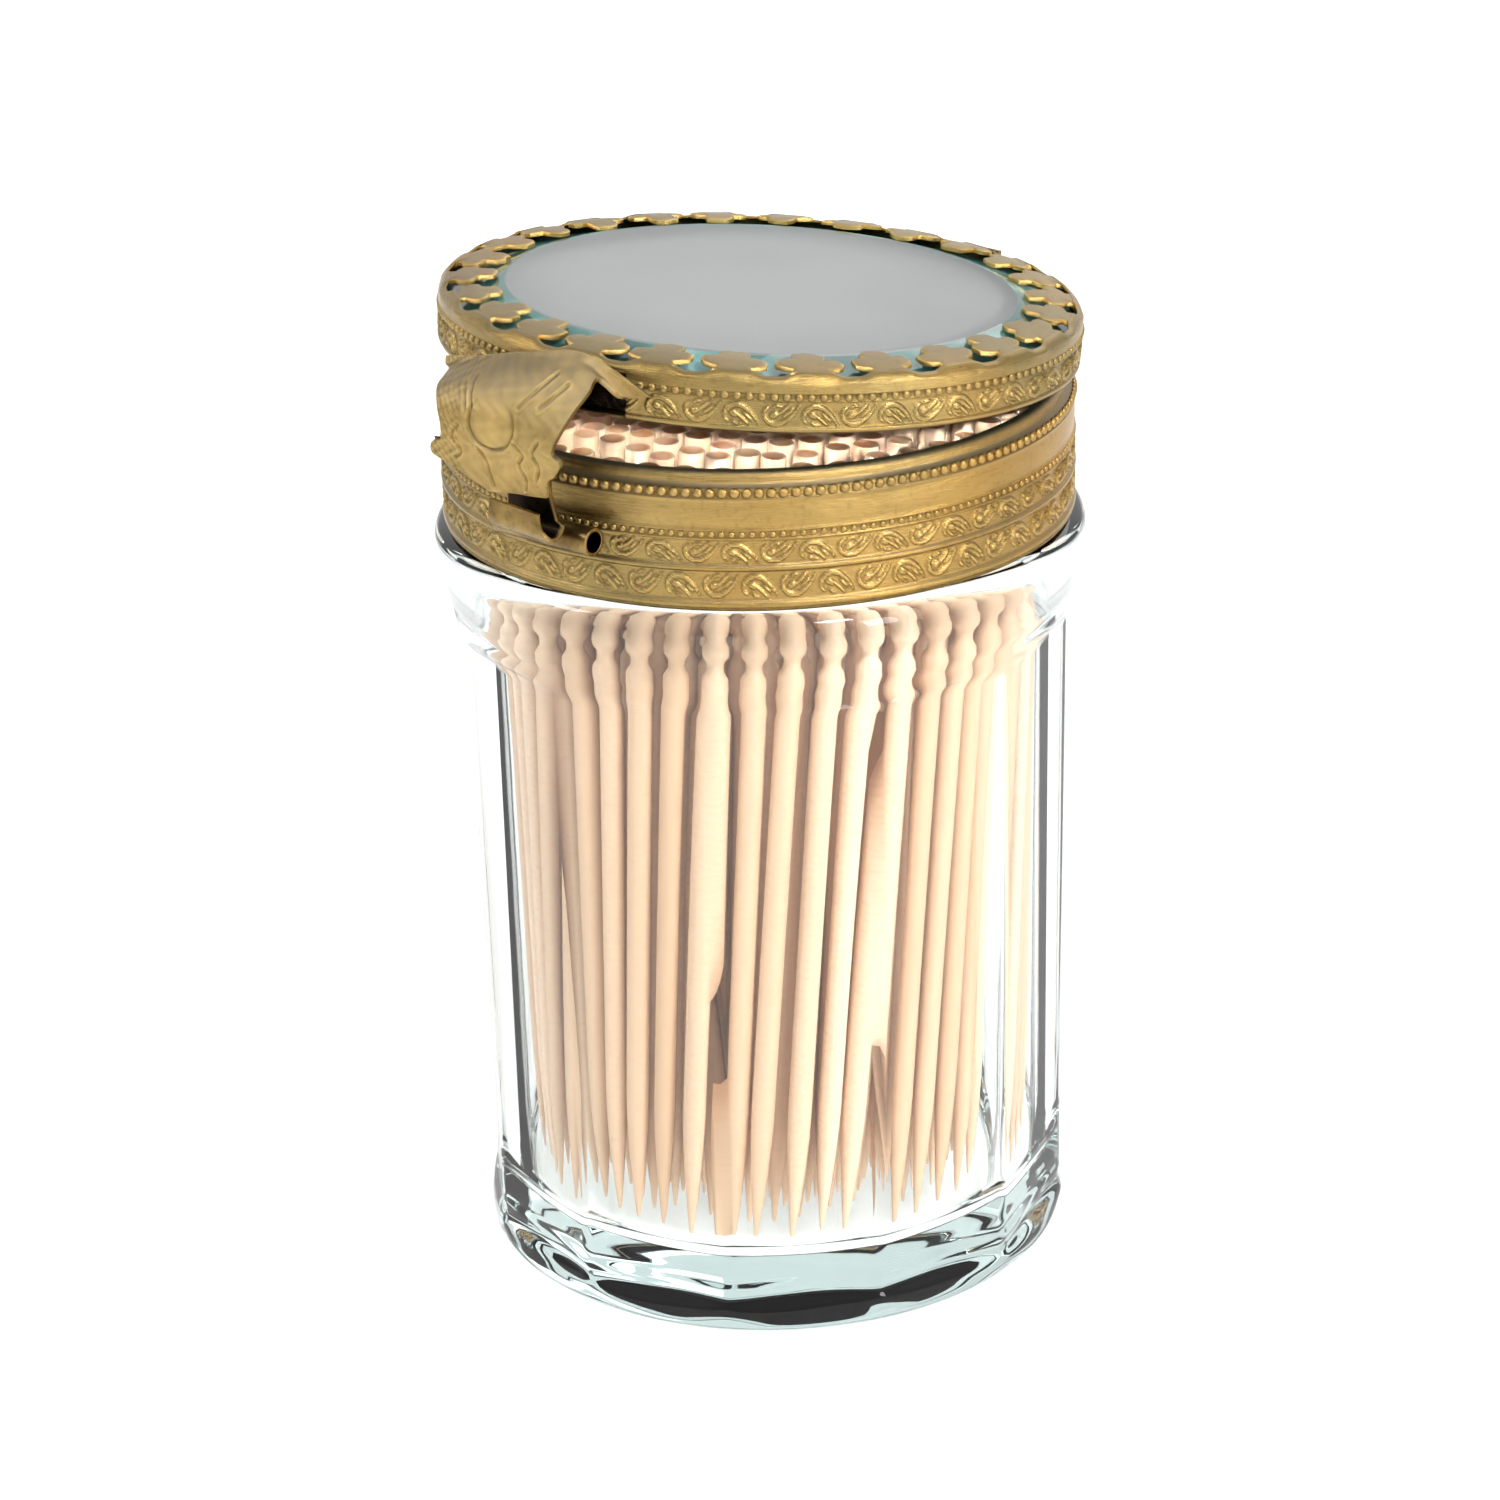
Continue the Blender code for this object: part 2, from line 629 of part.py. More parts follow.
def make_catch(parts, brass):
    """A plain tube soldered across the collar, which the hook springs over."""
    bore = CATCH_RADIUS - CATCH_WALL
    tube = turned(
        "catch_tube",
        [
            (CATCH_RADIUS, CATCH_LENGTH / 2), (CATCH_RADIUS, -CATCH_LENGTH / 2),
            (bore, -CATCH_LENGTH / 2), (bore, CATCH_LENGTH / 2),
        ],
        parts, brass, closed=True, steps=CATCH_SIDES,
    )
    tube.rotation_euler.y = math.pi / 2
    tube.location = (CATCH_OFFSET, -CATCH_REACH, COLLAR_TOP - CATCH_DROP)


def make_hook(parts, pivot, brass):
    """A tongue behind the clasp leaf whose lower end curls outwards into a gutter."""
    inner = -HOOK_REACH - HINGE_REACH
    curl_centre = (inner - HOOK_CURL_RADIUS, -HOOK_TONGUE_BOTTOM - HOOK_CURL_RADIUS / 2)
    line = [(inner, -HOOK_TONGUE_TOP), (inner, -HOOK_TONGUE_BOTTOM + HOOK_CURL_RADIUS)]
    line += arc(curl_centre, HOOK_CURL_RADIUS, 0.0, -HOOK_CURL_TURN, HOOK_CURL_STEPS)
    hook = place(
        "clasp_hook", mesh_from(ribbon(line, HOOK_WIDTH), "clasp_hook"), parts, brass
    )
    hook.location.x = HOOK_OFFSET
    hook.parent = pivot
    add_sheet(hook, HOOK_THICKNESS, -1.0)


def curve_between(p0, p1, p2, p3, share):
    """A smooth curve from p1 to p2 that passes through all four places."""
    return 0.5 * (
        2 * p1 + (p2 - p0) * share + (2 * p0 - 5 * p1 + 4 * p2 - p3) * share ** 2
        + (3 * p1 - p0 - 3 * p2 + p3) * share ** 3
    )


def clasp_leaf_rows():
    """Rows of places on the leaf's inner face, from its top edge down."""
    face = BEZEL_RADIUS + SEAT_GAP
    rows = []
    for stand, wrap, places in CLASP_LEAF_SHARES:
        reach = face + min(stand, 1.0) * (CLASP_LEAF_REACH - face)
        reach += max(stand - 1.0, 0.0) * CLASP_LEAF_BULGE
        knots = []
        for across, up in places:
            x = across * CLASP_LEAF_HALF_WIDTH
            height = up * (BEZEL_HEIGHT if up > 0 else CLASP_LEAF_DROP)
            knots.append(Vector((x, -reach + wrap * x ** 2 / (2 * BEZEL_RADIUS), height)))
        knots = [knots[0]] + knots + [knots[-1]]
        row = []
        for index in range(len(places) - 1):
            for step in range(CLASP_LEAF_STEPS):
                row.append(curve_between(*knots[index:index + 4], step / CLASP_LEAF_STEPS))
        rows.append(row + [knots[-1]])
    return rows


def make_clasp_leaf(parts, lid_seat, brass):
    rows = clasp_leaf_rows()
    columns = len(rows[0]) - 1

    def draw(shape):
        grid = []
        for row, places in enumerate(rows):
            line = []
            for column, spot in enumerate(places):
                aside = (column / columns - BOSS_MIDDLE_ACROSS_SHARE) / BOSS_HALF_ACROSS_SHARE
                below = (row / (len(rows) - 1) - BOSS_MIDDLE_ALONG_SHARE) / BOSS_HALF_ALONG_SHARE
                boss = BOSS_RISE * math.sqrt(max(0.0, 1 - aside ** 2 - below ** 2))
                line.append(shape.verts.new((spot.x, spot.y - boss, spot.z)))
            grid.append(line)
        for upper, lower in zip(grid, grid[1:]):
            for column in range(columns):
                shape.faces.new(
                    (upper[column], lower[column], lower[column + 1], upper[column + 1])
                )

    leaf = place("clasp_leaf", mesh_from(draw, "clasp_leaf"), parts, brass)
    leaf.parent = lid_seat
    add_sheet(leaf, CLASP_LEAF_THICKNESS, 1.0)
    leaf.data.shade_smooth()


def pick_profile():
    """A turned pick, point down, with its tip at the origin."""
    bead_top = PICK_LENGTH - PICK_HEAD_LENGTH
    return [
        (0.0, PICK_LENGTH),
        (PICK_RADIUS, PICK_LENGTH),
        (PICK_RADIUS, bead_top),
        (PICK_GROOVE_RADIUS, bead_top - PICK_BEAD_LENGTH / 3),
        (PICK_RADIUS, bead_top - PICK_BEAD_LENGTH),
        (PICK_GROOVE_RADIUS, bead_top - PICK_BEAD_LENGTH * 5 / 3),
        (PICK_RADIUS, bead_top - PICK_BEAD_LENGTH * 7 / 3),
        (PICK_RADIUS, PICK_POINT_LENGTH),
        (PICK_TIP_RADIUS, 0.0),
        (0.0, 0.0),
    ]


def make_picks(parts, wood):
    """The outer picks of the stock, each standing on the jar's floor and leaning on the next."""
    chance = random.Random(7)
    mesh = profile_mesh("toothpick", pick_profile(), closed=False)
    mesh.materials.append(wood)
    for index in range(PICK_COUNT):
        angle = math.tau * index / PICK_COUNT
        lifted = chance.uniform(0.0, PICK_RAGGED)
        foot = Vector((
            PICK_RING_BOTTOM * math.sin(angle - PICK_TWIST),
            -PICK_RING_BOTTOM * math.cos(angle - PICK_TWIST),
            JAR_FLOOR + SEAT_GAP + lifted,
        ))
        head = Vector((
            PICK_RING_TOP * math.sin(angle),
            -PICK_RING_TOP * math.cos(angle),
            JAR_FLOOR + PICK_LENGTH,
        ))
        pick = bpy.data.objects.new(f"toothpick_{index + 1:02d}", mesh)
        parts.objects.link(pick)
        add_screw(pick, PICK_SIDES)
        pick.location = foot
        pick.rotation_mode = "QUATERNION"
        pick.rotation_quaternion = (head - foot).to_track_quat("Z", "Y")


def make_bundle(parts, wood):
    """The inner picks, pressed together into one honeycomb bundle with a step at every head."""
    chance = random.Random(3)
    top = JAR_FLOOR + PICK_LENGTH - BUNDLE_HEAD_RISE - PICK_RAGGED
    bottom = JAR_FLOOR + SEAT_GAP
    reach = PICK_RING_TOP - 2 * PICK_RADIUS - BUNDLE_PITCH / 2
    corner = BUNDLE_PITCH / math.sqrt(3)
    taper = (PICK_RING_BOTTOM - BUNDLE_FOOT_ROOM) / (reach + corner)

    def draw(shape):
        corners = {}

        def corner_at(x, y):
            key = (round(x / (BUNDLE_PITCH / 2)), round(y / (corner / 2)))
            if key not in corners:
                corners[key] = shape.verts.new((x, y, top))
            return corners[key]

        rings = math.ceil(reach / BUNDLE_PITCH) + 1
        for row in range(-rings, rings + 1):
            for column in range(-rings, rings + 1):
                x = BUNDLE_PITCH * (column + row / 2)
                y = BUNDLE_PITCH * row * math.sqrt(3) / 2
                if math.hypot(x, y) > reach:
                    continue
                angles = [math.radians(30 + 60 * side) for side in range(6)]
                shape.faces.new([
                    corner_at(x + corner * math.cos(a), y + corner * math.sin(a)) for a in angles
                ])
        shape.normal_update()
        cells = list(shape.faces)
        body = bmesh.ops.extrude_face_region(shape, geom=cells, use_keep_orig=True)
        lowered = [item for item in body["geom"] if isinstance(item, bmesh.types.BMVert)]
        floor = [item for item in body["geom"] if isinstance(item, bmesh.types.BMFace)]
        for vert in lowered:
            flat = Vector((vert.co.x, vert.co.y, 0.0)) * taper
            flat.rotate(Matrix.Rotation(-PICK_TWIST / 2, 3, "Z"))
            vert.co = (flat.x, flat.y, bottom)
        bmesh.ops.dissolve_faces(shape, faces=floor, use_verts=True)
        bmesh.ops.inset_individual(
            shape, faces=cells, thickness=BUNDLE_GROOVE, depth=0.0, use_even_offset=True
        )
        for cell in cells:
            rise = BUNDLE_HEAD_RISE + chance.uniform(0.0, PICK_RAGGED)
            for vert in cell.verts:
                vert.co.z += rise
        bmesh.ops.recalc_face_normals(shape, faces=shape.faces)

    place("toothpick_bundle", mesh_from(draw, "toothpick_bundle"), parts, wood)


def main():
    clear_scene()
    parts = new_collection("toothpick_dispenser")
    cutters = new_collection("cutters")

    brass = finish("stamped_brass", (0.52, 0.37, 0.13), 0.34, metallic=1.0)
    plain = finish("plain_brass", (0.45, 0.33, 0.13), 0.4, metallic=1.0)
    glass = finish("jar_glass", (0.90, 0.95, 0.94), 0.03, transmission=0.9)
    clear = finish("bevelled_glass", (0.62, 0.78, 0.76), 0.03, transmission=0.8)
    silver = finish("silvered_plate", (0.62, 0.62, 0.60), 0.2, metallic=1.0)
    cement = finish("fixing_cement", (0.75, 0.72, 0.66), 0.9)
    wood = finish("birch_wood", (0.85, 0.62, 0.44), 0.7)

    pivot = bpy.data.objects.new("lid_pivot", None)
    pivot.location = (0.0, HINGE_REACH, LID_EDGE)
    pivot.rotation_euler.x = -LID_AJAR
    parts.objects.link(pivot)
    lid_seat = bpy.data.objects.new("lid_seat", None)
    lid_seat.location = (LID_SHIFT, -HINGE_REACH, 0.0)
    lid_seat.rotation_euler.y = LID_ROLL
    lid_seat.parent = pivot
    parts.objects.link(lid_seat)
    fixed = bpy.data.objects.new("hinge_line", None)
    fixed.location = pivot.location
    parts.objects.link(fixed)

    jar = make_jar(parts, cutters, glass)
    smooth_mesh(jar)
    make_collar(parts, brass, cement)
    make_lid(parts, cutters, lid_seat, brass, clear, silver)
    make_hinge(parts, cutters, pivot, fixed, plain)
    make_catch(parts, plain)
    make_hook(parts, pivot, plain)
    make_clasp_leaf(parts, lid_seat, brass)
    make_picks(parts, wood)
    make_bundle(parts, wood)


main()
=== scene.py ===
"""Looks of the glass toothpick dispenser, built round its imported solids.

Lengths here are in millimetres and are turned to metres where a mesh is made.
"""

import math
import random

import bpy
import numpy as np
from bpy.props import FloatProperty, FloatVectorProperty, IntProperty, PointerProperty
from mathutils import Matrix, Vector


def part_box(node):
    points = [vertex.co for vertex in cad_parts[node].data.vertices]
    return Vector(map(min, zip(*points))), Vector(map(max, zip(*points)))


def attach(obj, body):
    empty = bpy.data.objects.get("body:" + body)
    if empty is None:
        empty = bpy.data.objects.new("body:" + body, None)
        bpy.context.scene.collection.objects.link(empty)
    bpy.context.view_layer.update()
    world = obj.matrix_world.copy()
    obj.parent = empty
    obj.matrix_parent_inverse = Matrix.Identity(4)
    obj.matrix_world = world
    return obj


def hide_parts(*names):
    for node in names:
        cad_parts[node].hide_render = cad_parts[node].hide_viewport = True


bl_info = {
    "name": "Glass Toothpick Dispenser",
    "version": (1, 0, 0),
    "blender": (4, 5, 0),
    "location": "3D View > Sidebar > Dispenser",
    "description": "Panelled glass jar of toothpicks with stamped brass mounts",
    "category": "Add Mesh",
}

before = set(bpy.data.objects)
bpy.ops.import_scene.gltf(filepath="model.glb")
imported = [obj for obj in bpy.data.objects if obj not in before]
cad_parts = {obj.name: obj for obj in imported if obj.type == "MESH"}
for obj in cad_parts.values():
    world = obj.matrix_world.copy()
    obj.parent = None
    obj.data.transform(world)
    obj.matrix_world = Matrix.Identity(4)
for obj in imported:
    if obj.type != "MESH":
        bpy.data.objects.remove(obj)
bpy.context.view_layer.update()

MM = 0.001
TAU = math.tau


def node_span(node):
    """Lowest and highest corner of a solid, in millimetres."""
    low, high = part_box(node)
    return np.array(low) / MM, np.array(high) / MM


PIN_LOW, PIN_HIGH = node_span("hinge_pin")
JAR_TOP = node_span("glass_jar")[1][2]
TUBE_LOW, TUBE_HIGH = node_span("catch_tube")

# Hinge line and the lid's seat on it
HINGE_REACH = (PIN_LOW[1] + PIN_HIGH[1]) / 2
HINGE_HEIGHT = (PIN_LOW[2] + PIN_HIGH[2]) / 2
LID_AJAR = math.radians(4.5)
LID_ROLL = math.radians(1.5)
LID_SHIFT = 0.3
LID_SEAT = (
    Matrix.Translation((0.0, HINGE_REACH, HINGE_HEIGHT))
    @ Matrix.Rotation(-LID_AJAR, 4, "X")
    @ Matrix.Translation((LID_SHIFT, -HINGE_REACH, 0.0))
    @ Matrix.Rotation(LID_ROLL, 4, "Y")
)
LID_HINGE_SIDE = (
    Matrix.Translation((0.0, HINGE_REACH, HINGE_HEIGHT)) @ Matrix.Rotation(-LID_AJAR, 4, "X")
)

# Stamped pattern
TILE_COUNT = 54
TILE_COLUMNS = 24
TILE_WIDTH = 2.88
BEAD_PITCH = 0.9

# Share of the relief scale: plain sheet, beads, and the grooves that hold them
# Low shares paint shade, with tarnish, in hollows and grooves; high shares paint highlights, with
# wear, on raised rims and beads.
SHEET_TONE = 0.5
BEAD_TONE = 0.58
GROOVE_TONE = 0.3


# Sizes and colours that a user would change

class JarSettings(bpy.types.PropertyGroup):
    bore_radius: FloatProperty(
        name="Bore radius", description="Inside radius of the jar, in millimetres",
        default=21.8, min=20.0, max=22.2,
    )
    floor_thickness: FloatProperty(
        name="Floor thickness", description="Glass under the picks, in millimetres",
        default=5.8, min=3.0, max=8.0,
    )
    glass_tint: FloatVectorProperty(
        name="Glass tint", description="Colour that the clear glass passes on",
        subtype="COLOR", size=3, min=0.0, max=1.0, default=(0.965, 0.985, 0.98),
    )


class BrassSettings(bpy.types.PropertyGroup):
    gold: FloatVectorProperty(
        name="Brass", description="Worn, clean brass",
        subtype="COLOR", size=3, min=0.0, max=1.0, default=(0.44, 0.30, 0.105),
    )
    # Dark colour for tarnish and painted shade in hollows, grooves, inner faces and undersides, and
    # for the dirt speckle.
    shade: FloatVectorProperty(
        name="Recess", description="Tarnish left in the hollows of the stamping",
        subtype="COLOR", size=3, min=0.0, max=1.0, default=(0.085, 0.055, 0.02),
    )
    # Grey-brown colour painted on faces that look up, as a painted reflection of the sky over them.
    patina: FloatVectorProperty(
        name="Painted sky reflection", description="Dull grey-brown film on the faces that look up",
        subtype="COLOR", size=3, min=0.0, max=1.0, default=(0.27, 0.22, 0.14),
    )
    relief_height: FloatProperty(
        name="Relief height", description="Height of the stamped scrolls, in millimetres",
        default=0.2, min=0.05, max=0.4,
    )


class PickSettings(bpy.types.PropertyGroup):
    inner_pitch: FloatProperty(
        name="Inner pitch", description="Spacing of the inner picks, in millimetres",
        default=2.45, min=2.2, max=4.0,
    )
    sides: IntProperty(
        name="Sides", description="Facets round each pick", default=10, min=6, max=24,
    )
    birch: FloatVectorProperty(
        name="Birch", description="Raw turned birch",
        subtype="COLOR", size=3, min=0.0, max=1.0, default=(0.84, 0.62, 0.44),
    )
    burnt: FloatVectorProperty(
        name="Burnt end", description="Scorched end grain of the heads",
        subtype="COLOR", size=3, min=0.0, max=1.0, default=(0.58, 0.19, 0.05),
    )


class StageSettings(bpy.types.PropertyGroup):
    azimuth: FloatProperty(
        name="Camera azimuth", description="From the clasp side towards +X",
        subtype="ANGLE", default=math.radians(40.0),
    )
    elevation: FloatProperty(
        name="Camera elevation", description="Height of the camera over the horizon",
        subtype="ANGLE", default=math.radians(22.79),
    )
    distance: FloatProperty(
        name="Camera distance", description="From the point that the camera looks at",
        unit="LENGTH", default=0.364,
    )
    floor_colour: FloatVectorProperty(
        name="Floor", description="Pale paper sweep under the dispenser",
        subtype="COLOR", size=3, min=0.0, max=1.0, default=(0.86, 0.86, 0.86),
    )


# Materials

# Near-black painted shade: the clasp leaf's shadow on the bezel, the hook's trough and the tube's
# bore.
PAINTED_SHADE = (0.014, 0.009, 0.006)
GLASS_DEPTH_COLOUR = (0.66, 0.84, 0.82, 1.0)


class NodeSheet:
    """A node tree and short calls that lay its nodes."""

    def __init__(self, tree):
        self.tree = tree

    def add(self, kind, values=(), **settings):
        item = self.tree.nodes.new(kind)
        for key, value in settings.items():
            setattr(item, key, value)
        for key, value in dict(values).items():
            self.feed(item.inputs[key], value)
        return item

    def feed(self, socket, value):
        if isinstance(value, bpy.types.NodeSocket):
            self.tree.links.new(value, socket)
        else:
            socket.default_value = value

    def attribute(self, name):
        return self.add("ShaderNodeAttribute", attribute_name=name).outputs["Fac"]

    def noise(self, scale, detail=4.0, vector=None, roughness=0.5):
        values = {"Scale": scale, "Detail": detail, "Roughness": roughness}
        if vector is None:
            vector = self.add("ShaderNodeTexCoord").outputs["Object"]
        values["Vector"] = vector
        return self.add("ShaderNodeTexNoise", values).outputs["Fac"]

    def stretched(self, scale):
        coordinates = self.add("ShaderNodeUVMap", uv_map="UVMap").outputs["UV"]
        mapping = self.add("ShaderNodeMapping", {"Vector": coordinates, "Scale": scale})
        return mapping.outputs["Vector"]

    def ramp(self, factor, stops):
        item = self.add("ShaderNodeValToRGB", {"Fac": factor})
        elements = item.color_ramp.elements
        while len(elements) < len(stops):
            elements.new(0.5)
        for element, (place, colour) in zip(elements, stops):
            element.position = place
            element.color = (*colour, 1.0) if len(colour) == 3 else colour
        return item.outputs["Color"]

    def grey(self, factor, stops):
        return self.ramp(factor, [(place, (level,) * 3) for place, level in stops])

    def mix(self, factor, first, second, blend="MIX"):
        item = self.add("ShaderNodeMix", data_type="RGBA", blend_type=blend)
        self.feed(item.inputs[0], factor)
        self.feed(item.inputs[6], first if not isinstance(first, tuple) else (*first, 1.0))
        self.feed(item.inputs[7], second if not isinstance(second, tuple) else (*second, 1.0))
        return item.outputs[2]

    def maths(self, operation, *values):
        item = self.add("ShaderNodeMath", operation=operation)
        for socket, value in zip(item.inputs, values):
            self.feed(socket, value)
        return item.outputs[0]


class Recipe(NodeSheet):
    """One material and the nodes that make it."""

    def __init__(self, name):
        self.material = bpy.data.materials.new(name)
        self.material.use_nodes = True
        super().__init__(self.material.node_tree)
        self.shader = self.tree.nodes["Principled BSDF"]

    def set(self, **values):
        for key, value in values.items():
            self.feed(self.shader.inputs[key.replace("_", " ").title()], value)

    def bump(self, height, strength, distance):
        item = self.add(
            "ShaderNodeBump", {"Height": height, "Strength": strength, "Distance": distance}
        )
        self.feed(self.shader.inputs["Normal"], item.outputs["Normal"])


def stamped_brass(settings, name):
    """Antiqued brass: tarnish and painted shade in the hollows, wear and painted highlight on raised
    rims, painted sky reflection where it looks up.
    """
    made = Recipe(name)
    gold = tuple(settings.gold)
    relief = made.attribute("relief")
    patina = made.attribute("patina")
    cloud = made.noise(110.0, 3.0)
    speckle = made.noise(2200.0, 3.0)
    clouded = made.mix(
        made.grey(cloud, [(0.38, 0.0), (0.62, 1.0)]),
        gold, tuple(channel * share for channel, share in zip(gold, (0.72, 0.76, 0.80))),
    )
    blush = made.noise(38.0, 2.0)
    warmed = made.mix(
        made.grey(blush, [(0.5, 0.0), (0.7, 0.7)]), clouded,
        tuple(channel * share for channel, share in zip(gold, (1.1, 0.85, 0.5))),
    )
    worn = made.mix(
        made.grey(speckle, [(0.54, 0.0), (0.82, 0.4)]), warmed, tuple(settings.shade)
    )
    # Painted sky reflection on faces that look up, broken by the speckle.
    painted_reflection = made.maths("MULTIPLY", patina, made.grey(speckle, [(0.3, 0.95), (0.7, 0.6)]))
    sky_reflected = made.mix(painted_reflection, worn, tuple(settings.patina))
    # Painted highlight, with wear, on raised rims where the relief share is high.
    bright = tuple(min(1.0, channel * 1.9) for channel in gold)
    rubbed_and_highlit = made.mix(made.grey(relief, [(0.55, 0.0), (1.0, 0.85)]), sky_reflected, bright)
    # Tarnish and painted shade in hollows, grooves, inner faces and undersides where the relief share
    # is low.
    hollow = made.mix(
        made.grey(relief, [(0.05, 0.95), (0.3, 0.45), (0.5, 0.0)]), rubbed_and_highlit, tuple(settings.shade)
    )
    # Near-black painted shade where the attribute is set.
    colour = made.mix(made.attribute("soot"), hollow, PAINTED_SHADE)
    brushing = made.noise(1.0, 3.0, made.stretched((40.0, 7000.0, 1.0)))
    made.set(
        base_color=colour,
        metallic=1.0,
        roughness=made.grey(
            made.maths("ADD", brushing, made.maths("MULTIPLY", patina, 0.3)),
            [(0.3, 0.17), (0.85, 0.40)],
        ),
        anisotropic=0.5,
    )
    grain = made.maths("ADD", brushing, made.maths("MULTIPLY", speckle, 0.5))
    pitting = made.noise(950.0, 3.0)
    grain = made.maths("ADD", grain, made.maths("MULTIPLY", pitting, 1.6))
    made.bump(grain, 0.4, 0.00004)
    return made.material


def plain_brass(settings, name):
    """Drawn brass, with the orange tint that soldering left on its edges, and painted shade in the
    hook's trough and the tube's bore.
    """
    made = Recipe(name)
    heat = made.attribute("heat")
    cloud = made.noise(420.0, 2.0)
    speckle = made.noise(2600.0, 3.0)
    dull = made.ramp(cloud, [
        (0.34, (0.17, 0.11, 0.04)), (0.66, tuple(c * 0.8 for c in settings.gold)),
    ])
    tinted = made.ramp(cloud, [(0.3, (0.46, 0.16, 0.025)), (0.7, (0.90, 0.40, 0.08))])
    heated = made.mix(heat, dull, tinted)
    dirty = made.mix(
        made.grey(speckle, [(0.52, 0.0), (0.8, 0.5)]), heated, tuple(settings.shade)
    )
    # Near-black painted shade where the attribute is set.
    colour = made.mix(made.attribute("soot"), dirty, PAINTED_SHADE)
    made.set(
        base_color=colour, metallic=1.0, roughness=made.grey(speckle, [(0.3, 0.26), (0.8, 0.44)])
    )
    made.bump(speckle, 0.3, 0.00003)
    return made.material


def clear_glass(name, tint, absorption, ior, ripple):
    """Clear glass with a faint ripple, which greens with its thickness."""
    made = Recipe(name)
    wave = made.noise(ripple, 2.0)
    made.set(
        base_color=made.ramp(wave, [(0.3, tuple(c * 0.985 for c in tint)), (0.7, tuple(tint))]),
        roughness=0.0,
        transmission_weight=1.0,
    )
    made.feed(made.shader.inputs["IOR"], ior)
    made.bump(wave, 0.12, 0.0003)
    depth = made.add("ShaderNodeVolumeAbsorption", {
        "Color": GLASS_DEPTH_COLOUR, "Density": absorption,
    })
    made.feed(made.tree.nodes["Material Output"].inputs["Volume"], depth.outputs["Volume"])
    return made.material


def silvered_plate():
    """Aged silvering, with green foil on the rim that stands beneath the bevel."""
    made = Recipe("silvered_plate_aged")
    rim = made.attribute("rim")
    cloud = made.noise(140.0, 3.0)
    tarnish = made.noise(42.0, 2.0)
    silver = made.ramp(tarnish, [(0.3, (0.27, 0.27, 0.267)), (0.7, (0.35, 0.35, 0.347))])
    foil = made.ramp(cloud, [
        (0.42, (0.022, 0.11, 0.10)), (0.55, (0.05, 0.19, 0.17)), (0.68, (0.24, 0.50, 0.48)),
    ])
    colour = made.mix(rim, silver, foil)
    made.set(base_color=colour, metallic=0.2, roughness=0.5)
    return made.material


def birch(settings):
    made = Recipe("birch_turned")
    tone = made.attribute("tone")
    burn = made.attribute("burn")
    fibre = made.noise(1.0, 4.0, made.stretched((9.0, 260.0, 1.0)))
    base = tuple(settings.birch)
    light = tuple(min(1.0, channel * 1.12) for channel in base)
    dark = tuple(channel * share for channel, share in zip(base, (0.86, 0.76, 0.66)))
    wood = made.mix(made.grey(tone, [(0.0, 0.0), (1.0, 1.0)]), light, dark)
    grained = made.mix(made.grey(fibre, [(0.45, 0.0), (0.8, 0.5)]), wood, dark)
    colour = made.mix(burn, grained, tuple(settings.burnt))
    made.set(base_color=colour, roughness=made.grey(fibre, [(0.3, 0.55), (0.8, 0.75)]))
    made.bump(fibre, 0.25, 0.00005)
    return made.material


def cement():
    made = Recipe("fixing_cement_aged")
    grit = made.noise(1500.0, 4.0)
    made.set(
        base_color=made.ramp(grit, [(0.3, (0.42, 0.37, 0.29)), (0.7, (0.72, 0.68, 0.60))]),
        roughness=0.9,
    )
    made.bump(grit, 0.5, 0.0001)
    return made.material


# Mesh helpers

def lay_mesh(name, points, faces, material, attributes=None, loop_uv=None, sharp=None):
    """A new object from points in millimetres, sharp where faces turn more than so many degrees."""
    mesh = bpy.data.meshes.new(name)
    mesh.from_pydata((np.asarray(points, float) * MM).tolist(), [], faces)
    mesh.update()
    for key, values in (attributes or {}).items():
        layer = mesh.attributes.new(key, "FLOAT", "POINT")
        layer.data.foreach_set("value", np.asarray(values, np.float32).ravel())
    uv_layer = mesh.uv_layers.new(name="UVMap")
    if loop_uv is not None:
        uv_layer.data.foreach_set("uv", np.asarray(loop_uv, np.float32).ravel())
    mesh.shade_smooth()
    if sharp:
        mesh.set_sharp_from_angle(angle=math.radians(sharp))
    item = bpy.data.objects.new(name, mesh)
    bpy.context.scene.collection.objects.link(item)
    if material:
        mesh.materials.append(material)
    return item


def grid_faces(rows, columns, wrap_columns=False, wrap_rows=False, offset=0):
    """Quads over a grid, facing out when rows go down the outside and columns turn anticlockwise."""
    faces = []
    places = []
    for row in range(rows if wrap_rows else rows - 1):
        below = (row + 1) % rows
        for column in range(columns if wrap_columns else columns - 1):
            beside = (column + 1) % columns
            faces.append((
                offset + row * columns + column,
                offset + below * columns + column,
                offset + below * columns + beside,
                offset + row * columns + beside,
            ))
            places.append((
                (column, row), (column, row + 1), (column + 1, row + 1), (column + 1, row),
            ))
    return faces, places


def upward(points, faces):
    """Share of each point's normal that looks up, from its faces."""
    corners = np.asarray(points, float)
    quads = np.array([face[:4] for face in faces])
    across = corners[quads[:, 2]] - corners[quads[:, 0]]
    along = corners[quads[:, 3 if quads.shape[1] > 3 else 2]] - corners[quads[:, 1]]
    normals = np.cross(across, along)
    total = np.zeros_like(corners)
    for side in range(quads.shape[1]):
        np.add.at(total, quads[:, side], normals)
    length = np.linalg.norm(total, axis=1)
    length[length == 0] = 1.0
    return total[:, 2] / length


def smooth_step(low, high, value):
    share = np.clip((np.asarray(value, float) - low) / (high - low), 0.0, 1.0)
    return share * share * (3 - 2 * share)


def end_caps(rows, columns):
    """Faces that close the first and the last ring of a grid."""
    last = (rows - 1) * columns
    return [tuple(range(columns)), tuple(reversed(range(last, last + columns)))]


